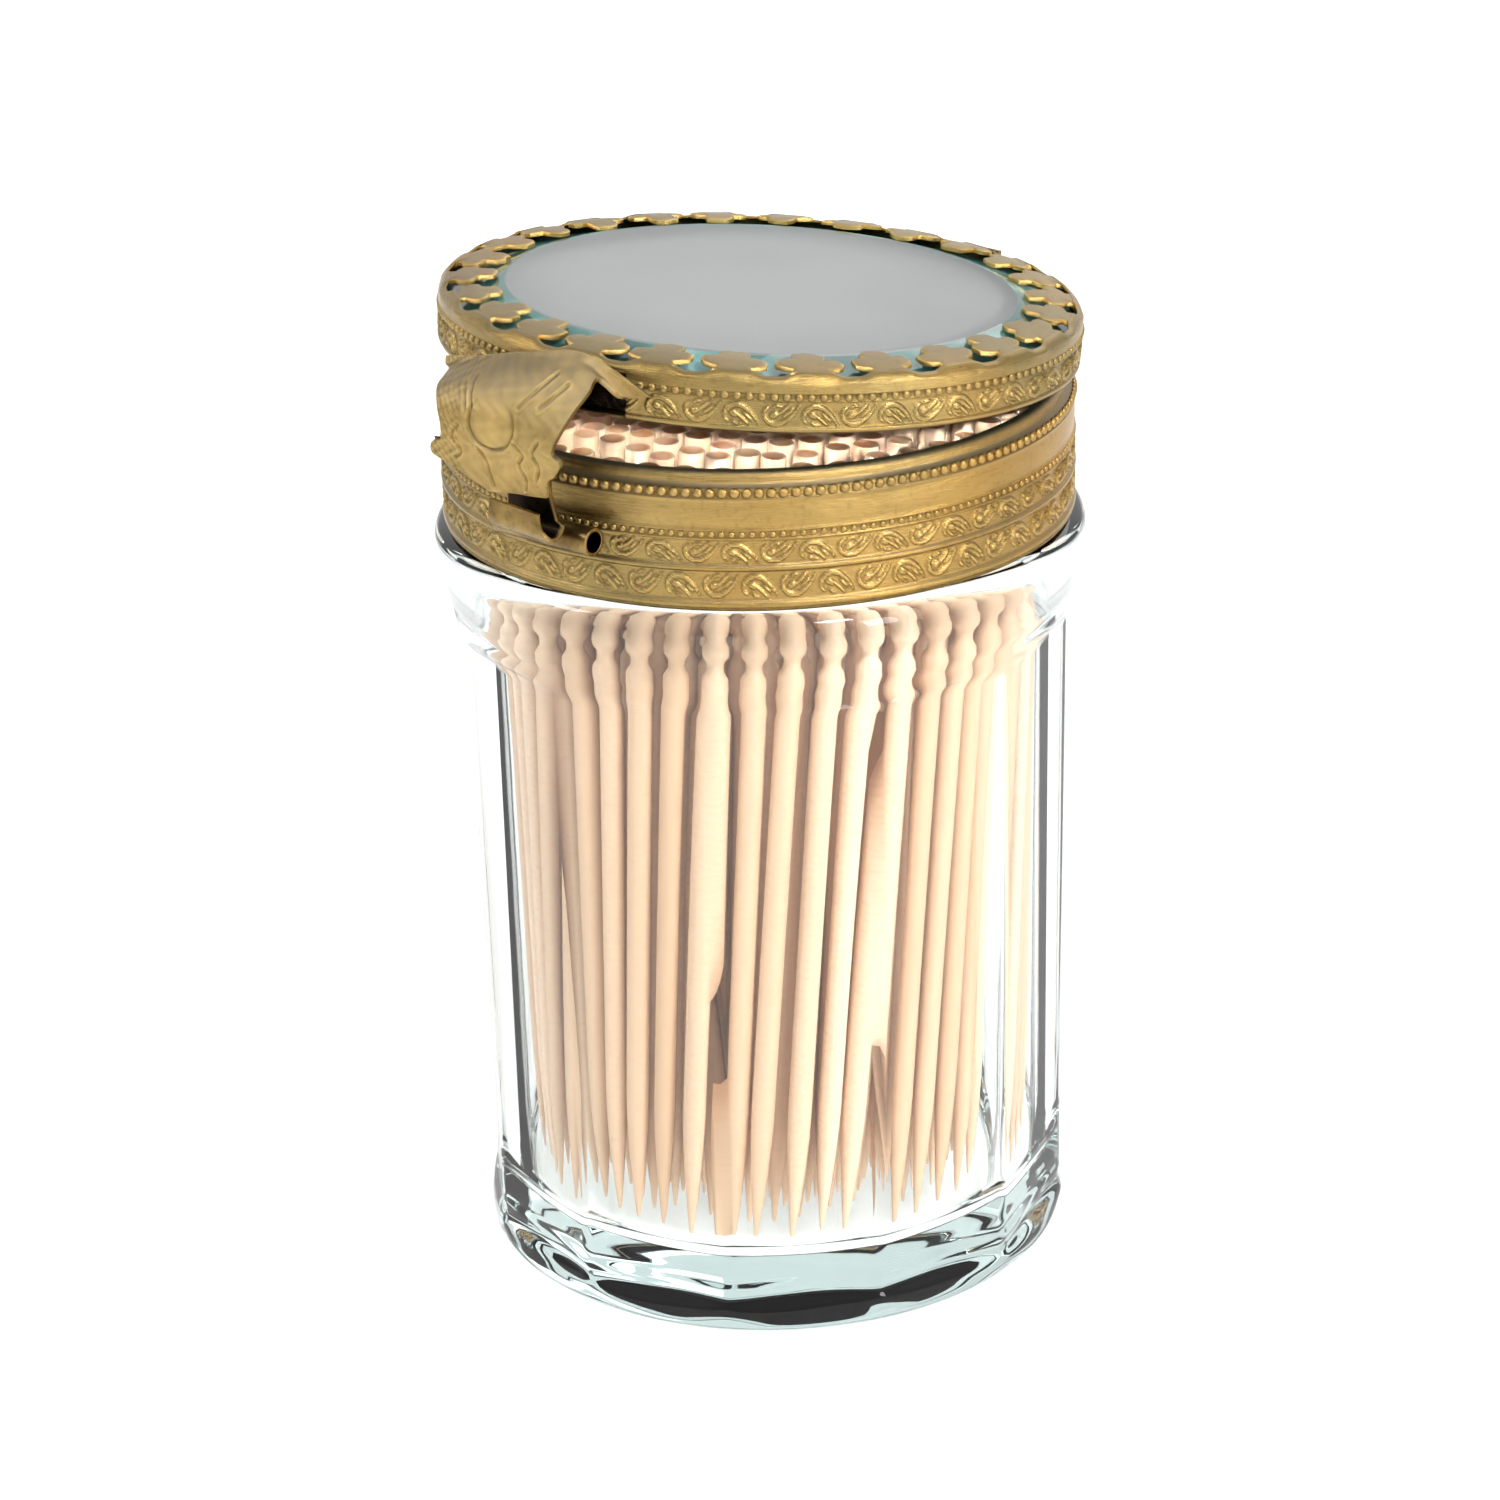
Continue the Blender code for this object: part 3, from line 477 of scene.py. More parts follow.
def turned_grid(profile, columns, closed=True, bend=None):
    """A turned body with a closed or open profile of (radius, height) points."""
    rows = len(profile)
    angles = TAU * np.arange(columns) / columns
    radius = np.array([point[0] for point in profile])[:, None] * np.ones(columns)
    height = np.array([point[1] for point in profile])[:, None] * np.ones(columns)
    if bend is not None:
        radius, height = bend(radius, height, angles)
    points = np.stack(
        (radius * np.sin(angles), -radius * np.cos(angles), height), axis=-1
    ).reshape(-1, 3)
    faces, places = grid_faces(rows, columns, wrap_columns=True, wrap_rows=closed)
    run = np.concatenate(([0.0], np.cumsum(np.hypot(
        np.diff([point[0] for point in profile] + [profile[0][0]]),
        np.diff([point[1] for point in profile] + [profile[0][1]]),
    ))))
    uv = np.array([
        (column / columns, run[row] / 100.0) for place in places for column, row in place
    ])
    return points, faces, uv


def seated(points, matrix):
    turned = np.array(matrix.to_3x3())
    moved = np.array(matrix.to_translation())
    return np.asarray(points) @ turned.T + moved


def rounded_line(points, radius, steps=4):
    """A closed profile with its corners rounded."""
    result = []
    count = len(points)
    for index in range(count):
        before = Vector(points[index - 1])
        here = Vector(points[index])
        after = Vector(points[(index + 1) % count])
        reach = min(radius, (before - here).length * 0.45, (after - here).length * 0.45)
        start = here + (before - here).normalized() * reach
        end = here + (after - here).normalized() * reach
        for step in range(steps + 1):
            share = step / steps
            bow = start.lerp(here, share).lerp(here.lerp(end, share), share)
            result.append((bow.x, bow.y))
    return result


def fine_line(knots, factor):
    """The knots resampled along a smooth line through them."""
    table = np.asarray(knots, float)
    count = len(table)
    result = []
    for step in range((count - 1) * factor + 1):
        place = step / factor
        index = min(int(place), count - 2)
        share = place - index
        p0, p1 = table[max(index - 1, 0)], table[index]
        p2, p3 = table[index + 1], table[min(index + 2, count - 1)]
        result.append(0.5 * (
            2 * p1 + (p2 - p0) * share + (2 * p0 - 5 * p1 + 4 * p2 - p3) * share ** 2
            + (3 * p1 - p0 - 3 * p2 + p3) * share ** 3
        ))
    return np.array(result)


# Stamped relief

# One scroll of the border: strokes of (x, y, half width), on a tile 2.88 wide and from -1 to 1 high
COMMA = (
    (0.42, 0.62, 0.07), (0.18, 0.40, 0.11), (0.12, 0.02, 0.15), (0.34, -0.42, 0.18),
    (0.82, -0.68, 0.20), (1.40, -0.60, 0.19), (1.92, -0.22, 0.15), (2.34, 0.26, 0.10),
    (2.66, 0.80, 0.05),
)
BUD = ((0.76, -0.04, 0.26), (0.92, 0.04, 0.24))
TENDRILS = (
    ((1.16, 0.10, 0.10), (1.48, 0.36, 0.14), (1.74, 0.62, 0.10), (1.92, 0.84, 0.05)),
    ((1.50, -0.10, 0.07), (1.86, 0.18, 0.10), (2.12, 0.50, 0.07)),
    ((0.70, 0.56, 0.06), (1.00, 0.74, 0.09), (1.34, 0.70, 0.05)),
)


def scroll_tile(rows, columns):
    """Heights from 0 to 1 on a grid over two tiles, the second one upside down."""
    x = (TILE_WIDTH * np.arange(2 * columns) / columns)[None, :] * np.ones((rows, 1))
    y = np.linspace(1.0, -1.0, rows)[:, None] * np.ones((1, 2 * columns))
    height = np.zeros_like(x)
    for tile in range(2):
        side = 1 - 2 * tile
        for stroke in (COMMA, BUD) + TENDRILS:
            for place, up, half in fine_line(stroke, 5):
                for shift in (-2, 0, 2):
                    away = np.hypot(x - place - (tile + shift) * TILE_WIDTH, y - side * up)
                    crown = smooth_step(half * 1.12, half * 0.5, away)
                    height = np.maximum(height, crown)
        groove = np.full_like(x, 9.0)
        for place, up, half in fine_line(COMMA[1:8], 5):
            away = np.hypot(x - place - tile * TILE_WIDTH, y - side * up)
            groove = np.minimum(groove, away / half)
        height -= 0.3 * smooth_step(0.5, 0.1, groove)
    return np.clip(height, 0.0, 1.0)


def scroll_band(radius, height, columns, top, bottom, lift, shift=0):
    """Relief on the rows of a turned band that lie between two heights."""
    level = height[:, 0]
    rows = np.nonzero((level < top) & (level > bottom))[0]
    tile = scroll_tile(len(rows), TILE_COLUMNS)
    repeated = np.tile(tile, (1, columns // tile.shape[1]))
    relief = np.full(radius.shape, SHEET_TONE)
    edge = np.abs(np.gradient(repeated, axis=0)) + np.abs(np.gradient(repeated, axis=1))
    edge = np.clip(edge * 1.6, 0.0, 1.0)
    # Painted highlight along the upper edges of raised strokes and painted shade along their feet.
    tone = 0.5 + 0.36 * edge * smooth_step(0.3, 0.8, repeated) - 0.26 * edge * (1 - repeated)
    relief[rows] = np.roll(tone, shift, axis=1)
    raised = radius.copy()
    raised[rows] += lift * np.roll(repeated, shift, axis=1)
    return raised, relief


def bead_row(name, radius, height, size, count, material, matrix=None):
    """Half-sunk round beads in a ring, as one piece."""
    rings = 5
    around = 10
    dome = [(0.0, 0.0, 1.0)]
    for ring in range(1, rings + 1):
        tilt = math.pi * 0.56 * ring / rings
        for step in range(around):
            turn = TAU * step / around
            dome.append((
                math.sin(tilt) * math.cos(turn), math.sin(tilt) * math.sin(turn), math.cos(tilt),
            ))
    cap = [(0, 1 + step, 1 + (step + 1) % around) for step in range(around)]
    body = []
    for ring in range(rings - 1):
        for step in range(around):
            first = 1 + ring * around + step
            second = 1 + ring * around + (step + 1) % around
            body.append((first, first + around, second + around, second))
    floor = tuple(reversed(range(1 + (rings - 1) * around, 1 + rings * around)))
    dome = np.array(dome)
    chance = random.Random(11)
    points = []
    faces = []
    for index in range(count):
        angle = TAU * index / count
        worn = 1.0 - 0.16 * chance.random()
        out = Vector((math.sin(angle), -math.cos(angle), 0.0))
        side = Vector((math.cos(angle), math.sin(angle), 0.0))
        up = Vector((0.0, 0.0, 1.0))
        centre = out * (radius - size * 0.15) + up * height
        basis = np.array([side * size * 0.96, up * size, out * size * 0.8 * worn])
        offset = len(points)
        points.extend((dome @ basis + np.array(centre)).tolist())
        for face in cap + body + [floor]:
            faces.append(tuple(offset + corner for corner in face))
    points = np.array(points)
    if matrix is not None:
        points = seated(points, matrix)
    return lay_mesh(
        name, points, faces, material,
        {"relief": np.full(len(points), BEAD_TONE), "patina": np.zeros(len(points))},
    )


# Pieces

def brass_of(scene, kind):
    name = f"{kind}_finish"
    if name in bpy.data.materials:
        return bpy.data.materials[name]
    maker = stamped_brass if kind == "stamped_brass" else plain_brass
    return maker(scene.dispenser_brass, name)


JAR_HEEL = 1.9
JAR_BODY_RADIUS = 24.35
JAR_RING_RADIUS = 25.45
JAR_RING_TOP = 61.4
JAR_RING_CROWN = 1.5
JAR_RING_FOOT = 55.3
JAR_NECK_RADIUS = 22.95
PANEL_COUNT = 12
# How far out the corners between two panels stand at each height
PANEL_CORNERS = (
    (0.0, 26.0), (1.0, 25.0), (3.4, 23.7), (8.0, 23.6), (53.0, 24.3), (55.4, 26.7), (80.0, 40.0),
)


class DISPENSER_OT_glass_jar(bpy.types.Operator):
    """Build the panelled glass jar"""

    bl_idname = "dispenser.glass_jar"
    bl_label = "Glass Jar"

    def execute(self, context):
        settings = context.scene.dispenser_jar
        columns = PANEL_COUNT * 22

        def outer(height):
            body = JAR_BODY_RADIUS - 0.75 * max(0.0, 8.0 - height) / 8.0
            if height < JAR_HEEL:
                rise = (JAR_HEEL - height) / JAR_HEEL
                return body - JAR_HEEL * (1 - math.sqrt(max(0.0, 1 - rise ** 2)))
            if height < JAR_RING_FOOT:
                return body
            if height < JAR_RING_TOP - JAR_RING_CROWN:
                share = (height - JAR_RING_FOOT) / (JAR_RING_TOP - JAR_RING_CROWN - JAR_RING_FOOT)
                eased = min(1.0, 0.22 * min(1.0, share / 0.12) + 0.78 * share ** 0.85)
                return JAR_BODY_RADIUS + (JAR_RING_RADIUS - JAR_BODY_RADIUS) * eased
            rise = (height - JAR_RING_TOP + JAR_RING_CROWN) / JAR_RING_CROWN
            return JAR_RING_RADIUS - JAR_RING_CROWN * (1 - math.sqrt(max(0.0, 1 - rise ** 2)))

        crown = [
            JAR_RING_TOP - JAR_RING_CROWN * (1 - math.sin(a)) for a in np.linspace(math.pi / 2, 0, 9)
        ]
        heights = crown + list(np.linspace(crown[-1], JAR_RING_FOOT, 10)[1:])
        heights += list(np.linspace(JAR_RING_FOOT, 51.0, 12)[1:])
        heights += list(np.linspace(51.0, 10.0, 14)[1:])
        heights += list(np.linspace(10.0, JAR_HEEL, 26)[1:])
        heights += [JAR_HEEL * (1 - math.sin(a)) for a in np.linspace(0, math.pi / 2, 9)[1:]]
        wall = [(outer(height), height) for height in heights]

        rim_radius = (JAR_NECK_RADIUS - settings.bore_radius) / 2
        rim = [
            (
                settings.bore_radius + rim_radius + rim_radius * math.cos(a),
                JAR_TOP - rim_radius + rim_radius * math.sin(a),
            )
            for a in np.linspace(0.0, math.pi, 9)
        ]
        neck = rim[::-1]
        shoulder = [(JAR_NECK_RADIUS, JAR_RING_TOP + 3.0), (JAR_NECK_RADIUS, JAR_RING_TOP + 0.3)]
        shoulder += [(JAR_NECK_RADIUS + 0.1, JAR_RING_TOP)]
        fillet = 3.0
        floor = settings.floor_thickness
        inner = [
            (
                settings.bore_radius - fillet * (1 - math.cos(a)),
                floor + fillet * (1 - math.sin(a)),
            )
            for a in np.linspace(math.pi / 2, 0.0, 8)
        ]
        inside = [(radius, floor) for radius in (0.02, 5.0, 10.0, 15.0)] + inner
        inside += [(settings.bore_radius, height) for height in (15.0, 30.0, 50.0, 65.0)]
        profile = inside + neck + shoulder + wall
        profile += [(20.8, 0.0), (19.6, 0.1), (17.0, 0.35), (12.0, 0.7), (6.0, 0.9), (0.02, 0.95)]
        first_wall = len(inside) + len(neck) + len(shoulder)

        def panelled(radius, height, angles):
            corner = np.interp(height, *zip(*PANEL_CORNERS))
            step = TAU / PANEL_COUNT
            offset = (angles % step) - step / 2
            flat = corner * math.cos(step / 2) / np.cos(offset)[None, :]
            soft = 0.8
            gap = np.clip(0.5 + 0.5 * (flat - radius) / soft, 0.0, 1.0)
            blended = flat * (1 - gap) + radius * gap - soft * gap * (1 - gap)
            shaped = radius.copy()
            last_wall = first_wall + len(wall)
            shaped[first_wall:last_wall] = blended[first_wall:last_wall]
            heavy = smooth_step(0.3, 1.4, height) * smooth_step(6.2, 4.4, height)
            heavy[:first_wall] = 0.0
            drift = 0.9 * np.sin(5 * angles) + 0.5 * np.sin(13 * angles)
            swirl = np.sin(3.1 * height + drift[None, :])
            shaped += 0.055 * heavy * swirl - 0.05 * heavy
            return shaped, height

        points, faces = turned_grid(profile, columns, closed=False, bend=panelled)[:2]
        faces += end_caps(len(profile), columns)
        jar = lay_mesh("glass_jar_clear", points, faces, clear_glass(
            "jar_glass_clear", settings.glass_tint, 22.0, 1.42, 90.0
        ))
        jar.visible_shadow = False
        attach(jar, "jar")
        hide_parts("glass_jar")
        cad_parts["collar_bedding"].data.materials.clear()
        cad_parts["collar_bedding"].data.materials.append(cement())
        return {"FINISHED"}


COLLAR_RADIUS = 24.5
COLLAR_TOP = 72.2
COLLAR_FOOT = 61.7
COLLAR_THICKNESS = 0.45
COLLAR_NOSE = 23.85
UPPER_SCROLLS = (67.15, 65.25)
LOWER_SCROLLS = (64.75, 62.5)
BEAD_GROOVES = ((71.2, 70.36), (67.88, 67.32))


class DISPENSER_OT_collar(bpy.types.Operator):
    """Build the stamped collar with its bead rows and scrolls"""

    bl_idname = "dispenser.collar"
    bl_label = "Stamped Collar"

    def execute(self, context):
        brass = brass_of(context.scene, "stamped_brass")
        lift = context.scene.dispenser_brass.relief_height
        columns = TILE_COUNT * TILE_COLUMNS
        outside = [(23.1, COLLAR_TOP)]
        outside += [
            (COLLAR_NOSE - 0.7 + 0.7 * math.sin(a), COLLAR_TOP - 0.7 + 0.7 * math.cos(a))
            for a in np.linspace(0.0, math.pi / 2, 6)
        ]
        outside += [(COLLAR_NOSE + 0.05, 71.3), (24.35, 71.12), (24.45, 71.0)]
        outside += [(24.45, 70.5), (24.6, 70.38), (24.62, 70.28), (COLLAR_RADIUS, 70.12)]
        outside += [(COLLAR_RADIUS + 0.06 * math.sin(math.pi * share), 70.0 - 2.0 * share)
                    for share in np.linspace(0.0, 1.0, 7)]
        outside += [(24.56, 67.93), (24.5, 67.85), (24.5, 67.35), (24.58, 67.28), (24.56, 67.2)]
        outside += [(24.42, height) for height in np.linspace(67.1, 65.3, 16)]
        outside += [(24.55, 65.2), (24.65, 65.1), (24.66, 65.0), (24.65, 64.9), (24.55, 64.8)]
        outside += [(24.42, height) for height in np.linspace(64.7, 62.55, 18)]
        outside += [(24.55, 62.42), (24.64, 62.3), (24.66, 62.1), (24.62, 61.95), (24.5, 61.85)]
        outside += [(COLLAR_RADIUS + 0.05, COLLAR_FOOT)]
        bore = COLLAR_RADIUS - COLLAR_THICKNESS
        inside = [(bore, COLLAR_FOOT), (bore, 70.4)]
        inside += [(COLLAR_NOSE - COLLAR_THICKNESS, 71.1), (23.1, 71.75)]
        profile = outside + inside
        store = {}

        def stamped(radius, height, angles):
            first, upper = scroll_band(radius, height, columns, *UPPER_SCROLLS, lift)
            second, lower = scroll_band(
                first, height, columns, *LOWER_SCROLLS, lift, TILE_COLUMNS // 2
            )
            relief = np.where(upper != SHEET_TONE, upper, lower)
            second[len(outside):] = radius[len(outside):]
            # Painted shade on the inner face of the collar.
            relief[len(outside):] = 0.05
            # Tarnish and painted shade in the grooves that hold the beads.
            for top, foot in BEAD_GROOVES:
                relief[(height < top) & (height > foot) & (radius > 24.0)] = GROOVE_TONE
            store["relief"] = relief.ravel()
            return second, height

        points, faces, uv = turned_grid(profile, columns, bend=stamped)
        relief = store["relief"]
        # Painted sky reflection on the faces that look up.
        patina = smooth_step(0.35, 0.95, upward(points, faces))
        collar = lay_mesh(
            "collar_stamped", points, faces, brass, {"relief": relief, "patina": patina}, uv
        )
        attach(collar, "jar")
        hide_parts("collar_band")
        upper_count = round(TAU * COLLAR_RADIUS / BEAD_PITCH)
        for name, radius, height, size, count in (
            ("collar_upper_beads", 24.5, 70.78, 0.41, upper_count),
            ("collar_lower_beads", 24.5, 67.6, 0.27, round(upper_count * 1.2)),
        ):
            beads = bead_row(name, radius, height, size, count, brass)
            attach(beads, "jar")
        return {"FINISHED"}


BEZEL_RADIUS = 24.75
TAB_COUNT = 26
TAB_LENGTH = 4.0
TAB_HALF_WIDTH = 2.45
TAB_ROOT_RADIUS = 24.28
TAB_THICKNESS = 0.36


def tab_ring():
    """Outline of one three-lobed tab, as a smooth closed line, root first."""
    half = [
        (0.66, 0.02), (0.52, 0.10), (0.52, 0.20), (0.72, 0.23), (0.94, 0.31), (1.0, 0.43),
        (0.93, 0.56), (0.72, 0.62), (0.54, 0.62), (0.46, 0.68), (0.48, 0.80), (0.42, 0.92),
        (0.22, 1.0),
    ]
    outline = [(TAB_HALF_WIDTH * u, TAB_LENGTH * v) for u, v in half]
    outline += [(0.0, TAB_LENGTH * 1.015)]
    outline += [(-u, v) for u, v in reversed(outline[:-1])]
    return outline


class DISPENSER_OT_lid_bezel(bpy.types.Operator):
    """Build the lid's stamped bezel with its crown of tabs"""

    bl_idname = "dispenser.lid_bezel"
    bl_label = "Lid Bezel"

    def execute(self, context):
        brass = brass_of(context.scene, "stamped_brass")
        lift = context.scene.dispenser_brass.relief_height
        columns = TILE_COUNT * TILE_COLUMNS
        crest = fine_line([
            (24.75, 3.0), (24.72, 3.45), (24.58, 3.86), (24.36, 4.16), (24.12, 4.34), (23.9, 4.42),
        ], 3)
        outside = [tuple(point) for point in crest[::-1]] + [(BEZEL_RADIUS, 2.95)]
        outside += [(24.73, 2.9), (24.66, 2.85), (24.66, 2.42), (24.74, 2.34)]
        outside += [(24.58 - 0.02 * (2.2 - height), height) for height in np.linspace(2.27, 0.42, 20)]
        outside += [(24.66, 0.38), (24.72, 0.28), (24.68, 0.12), (24.6, 0.0)]
        inside = [(24.15, 0.0), (24.28, 1.6), (24.3, 3.0), (24.26, 3.5), (24.1, 3.85), (23.88, 4.1)]
        profile = outside + inside
        store = {}

        def stamped(radius, height, angles):
            raised, relief = scroll_band(radius, height, columns, 2.3, 0.4, lift)
            raised[len(outside):] = radius[len(outside):]
            # Painted shade on the inner face of the band.
            relief[len(outside):] = 0.0
            # Tarnish and painted shade in the groove that holds the beads.
            relief[(height > 2.34) & (height < 2.95)] = GROOVE_TONE
            seam_shadow = self.open_seam(raised, height, angles)
            store["relief"] = relief.ravel()
            # Painted shadow of the clasp leaf over the band's joint.
            store["soot"] = seam_shadow.ravel()
            pitch = TAU / TAB_COUNT
            aside = np.abs((angles % pitch) - pitch / 2) * BEZEL_RADIUS
            scallop = smooth_step(1.1, 2.5, aside)[None, :]
            top = smooth_step(3.3, 4.42, height)
            inner = np.zeros_like(radius)
            inner[len(outside):] = 1.0
            dip = top * scallop
            return raised + dip * (0.30 + 0.08 * inner), height - dip * (0.34 + 0.05 * inner)

        points, faces, uv = turned_grid(profile, columns, bend=stamped)
        relief = store["relief"]
        points = seated(points, LID_SEAT)
        # Painted sky reflection on the faces that look up.
        patina = 0.8 * smooth_step(0.75, 0.99, upward(points, faces))
        bezel = lay_mesh(
            "bezel_stamped", points, faces, brass,
            {"relief": relief, "patina": patina, "soot": store["soot"]}, uv,
        )
        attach(bezel, "lid")
        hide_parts("lid_bezel")
        beads = bead_row("bezel_beads", 24.66, 2.64, 0.35, 172, brass, LID_SEAT)
        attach(beads, "lid")
        tabs = self.lay_tabs(brass)
        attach(tabs, "lid")
        return {"FINISHED"}

    def open_seam(self, radius, height, angles):
        """Sink the joint of the band beside the clasp leaf, and mark where the leaf's shadow is
        painted near-black over it.
        """
        place = BEZEL_RADIUS * np.sin(angles)[None, :] * np.ones_like(height)
        front = np.cos(angles)[None, :] > 0
        seam_shadow = front & (place > 2.4) & (place < 6.9) & (height < 3.3) & (height > 0.05)
        radius[seam_shadow] -= 0.24
        return seam_shadow.astype(float)

    def lay_tabs(self, brass):
        """Twenty-six domed tabs, each a little different."""
        chance = random.Random(5)
        outline = tab_ring()
        middle = Vector((0.0, TAB_LENGTH * 0.46))
        shares = (0.0, 0.3, 0.6, 0.82, 0.94, 1.0)
        points = []
        faces = []
        patina = []
        relief = []
        for index in range(TAB_COUNT):
            turn = TAU * (index + 0.5) / TAB_COUNT
            tilt = chance.uniform(-0.03, 0.03)
            wide = chance.uniform(0.95, 1.05)
            skew = chance.uniform(-0.10, 0.10)
            ragged = [chance.uniform(-0.05, 0.05) for place in outline]
            lobes = (chance.uniform(0.92, 1.06), chance.uniform(0.92, 1.06))
            curl = chance.uniform(-0.06, 0.14)
            rings = []
            for level, listing in (("top", shares), ("under", (1.0, 0.6, 0.0))):
                for share in listing:
                    ring = []
                    for (u, v), rough in zip(outline, ragged):
                        wave = 1 + rough * share * smooth_step(0.3, 0.9, v)
                        flat = middle.lerp(Vector((u * wave * lobes[u > 0], v * wave)), share)
                        x = flat.x * wide + skew * flat.y
                        inward = flat.y
                        along = inward / TAB_LENGTH
                        rise = 4.28 + 0.46 * math.sin(min(1.0, along / 0.8) * math.pi / 2)
                        rise += tilt * x + curl * smooth_step(0.4, 1.0, along)
                        if level == "top":
                            rise += 0.05 * (1 - share ** 2)
                            rise -= 0.08 * smooth_step(0.93, 1.0, share)
                            rise += 0.07 * math.exp(-((abs(x) - 1.3) / 0.35) ** 2) * (1 - share)
                        else:
                            rise -= TAB_THICKNESS
                        ring.append((x, inward, rise))
                    rings.append(ring)
                    edge = smooth_step(0.9, 1.0, share) if level == "top" else 1.0
                    # Painted sky reflection on the tab tops; painted highlight, with wear, on their
                    # rims and undersides.
                    patina += [0.6 * float(1 - edge)] * len(outline)
                    relief += [float(0.5 + 0.5 * edge)] * len(outline)
            offset = len(points)
            for ring in rings:
                for x, inward, rise in ring:
                    radius = TAB_ROOT_RADIUS - inward
                    angle = turn + x / max(radius, 12.0)
                    points.append((radius * math.sin(angle), -radius * math.cos(angle), rise))
            faces += grid_faces(len(rings), len(outline), wrap_columns=True, offset=offset)[0]
        return lay_mesh(
            "bezel_tabs", seated(points, LID_SEAT), faces, brass,
            {"relief": relief, "patina": patina}, sharp=45,
        )


GLASS_RADIUS = 24.0
GLASS_FOOT = 1.38
GLASS_EDGE = 3.3
GLASS_TOP = 4.5
GLASS_FLAT = 19.7
PLATE_TOP = 1.4
PLATE_FOOT = 1.0


class DISPENSER_OT_lid_glass(bpy.types.Operator):
    """Build the bevelled glass and the silvered plate under it"""

    bl_idname = "dispenser.lid_glass"
    bl_label = "Bevelled Lid Glass"

    def execute(self, context):
        columns = 160
        profile = [(0.02, GLASS_TOP)] + [(radius, GLASS_TOP) for radius in (8.0, 16.0, 19.3)]
        profile += [(GLASS_FLAT - 0.04, GLASS_TOP), (GLASS_FLAT + 0.05, GLASS_TOP - 0.02)]
        profile += [(21.0, 4.14), (22.6, 3.69), (GLASS_RADIUS - 0.1, GLASS_EDGE + 0.02)]
        profile += [(GLASS_RADIUS, GLASS_EDGE - 0.1), (GLASS_RADIUS, GLASS_FOOT + 0.1)]
        profile += [(radius, GLASS_FOOT) for radius in (GLASS_RADIUS - 0.1, 16.0, 8.0, 0.02)]
        points, faces = turned_grid(profile, columns, closed=False)[:2]
        faces += end_caps(len(profile), columns)
        green = clear_glass("lid_glass_green", (0.95, 0.98, 0.97), 40.0, 1.52, 60.0)
        glass = lay_mesh("lid_glass_bevelled", seated(points, LID_SEAT), faces, green, sharp=12)
        glass.visible_shadow = False
        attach(glass, "lid")
        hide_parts("lid_glass")

        radii = [0.02, 6.0, 12.0, 16.0, 19.0, 19.6, 20.2, 21.5, 23.7]
        profile = [(radius, PLATE_TOP) for radius in radii]
        profile += [(23.9, PLATE_TOP + 0.1), (23.9, 2.86)]
        profile += [(19.68, 4.04), (19.62, 4.1), (22.0, 3.47), (23.97, 2.95), (24.2, 2.9)]
        profile += [(24.12, 1.1)] + [(radius, PLATE_FOOT) for radius in (23.7, 16.0, 8.0, 0.02)]
        points, faces = turned_grid(profile, columns, closed=False)[:2]
        faces += end_caps(len(profile), columns)
        rim = np.repeat([float(height > 2.8 or radius > 22.5) for radius, height in profile], columns)
        plate = lay_mesh(
            "lid_silvering", seated(points, LID_SEAT), faces, silvered_plate(), {"rim": rim},
            sharp=40,
        )
        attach(plate, "lid")
        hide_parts("lid_backing_plate")
        return {"FINISHED"}


# Rows of the clasp leaf from its top edge down: reach, wrap, then five places across (x, height)
LEAF_ROWS = (
    (25.45, 0.45, ((-10.0, 1.32), (-6.0, 2.30), (-0.8, 3.71), (4.4, 4.61), (10.0, 2.44))),
    (25.82, 0.50, ((-9.7, 0.80), (-5.7, 2.02), (-0.7, 3.38), (4.3, 4.23), (8.2, 2.12))),
    (26.32, 0.50, ((-8.7, 0.85), (-5.2, 1.79), (-0.6, 3.10), (4.1, 3.76), (6.3, 3.34))),
    (27.21, 0.40, ((-8.2, 0.56), (-4.6, 1.46), (-0.7, 2.44), (3.2, 2.77), (6.1, 2.30))),
    (28.20, 0.25, ((-7.7, 0.09), (-4.3, 0.71), (-0.7, 1.22), (2.8, 1.36), (5.6, 0.80))),
    (28.90, 0.15, ((-6.9, -0.98), (-3.9, -0.78), (-0.8, -0.59), (2.3, -0.52), (5.1, -0.72))),
    (29.00, 0.10, ((-6.2, -3.25), (-3.6, -2.93), (-0.9, -2.54), (1.9, -2.21), (4.6, -2.15))),
    (28.84, 0.10, ((-7.35, -3.95), (-4.1, -3.62), (-0.9, -3.25), (2.2, -2.92), (5.2, -2.72))),
    (28.76, 0.10, ((-7.35, -4.75), (-4.1, -4.25), (-0.9, -3.85), (2.2, -3.45), (5.2, -3.25))),
    (28.60, 0.05, ((-6.3, -5.14), (-3.7, -4.75), (-0.9, -4.49), (1.9, -4.23), (4.6, -4.03))),
    (28.54, 0.00, ((-3.9, -5.72), (-1.8, -5.40), (0.1, -5.07), (2.0, -4.81), (4.0, -4.55))),
    (28.54, 0.00, ((-1.6, -6.50), (-0.2, -6.24), (1.1, -6.05), (2.5, -5.92), (3.9, -5.72))),
)
LEAF_THICKNESS = 0.38


# Chased veins of the leaf, each a line of (x, height)
LEAF_VEINS = (
    ((3.1, 3.1), (2.2, 1.9), (1.05, 0.45)),
    ((4.4, 2.6), (3.7, 1.6), (2.9, 0.7)),
    ((-4.9, 0.9), (-4.4, 0.1), (-4.05, -0.7)),
    ((-4.3, 1.4), (-3.9, 0.4), (-3.44, -0.5)),
    ((-2.6, -3.3), (-1.9, -4.1), (-1.7, -5.0), (-1.1, -6.0)),
    ((0.9, -2.2), (1.7, -2.9), (1.3, -3.8), (1.9, -4.8), (1.9, -5.6)),
    ((3.3, -1.6), (2.7, -2.6), (3.2, -3.6), (2.9, -4.6)),
    ((-4.6, -2.0), (-5.2, -2.9), (-4.4, -3.9), (-5.0, -4.6)),
)


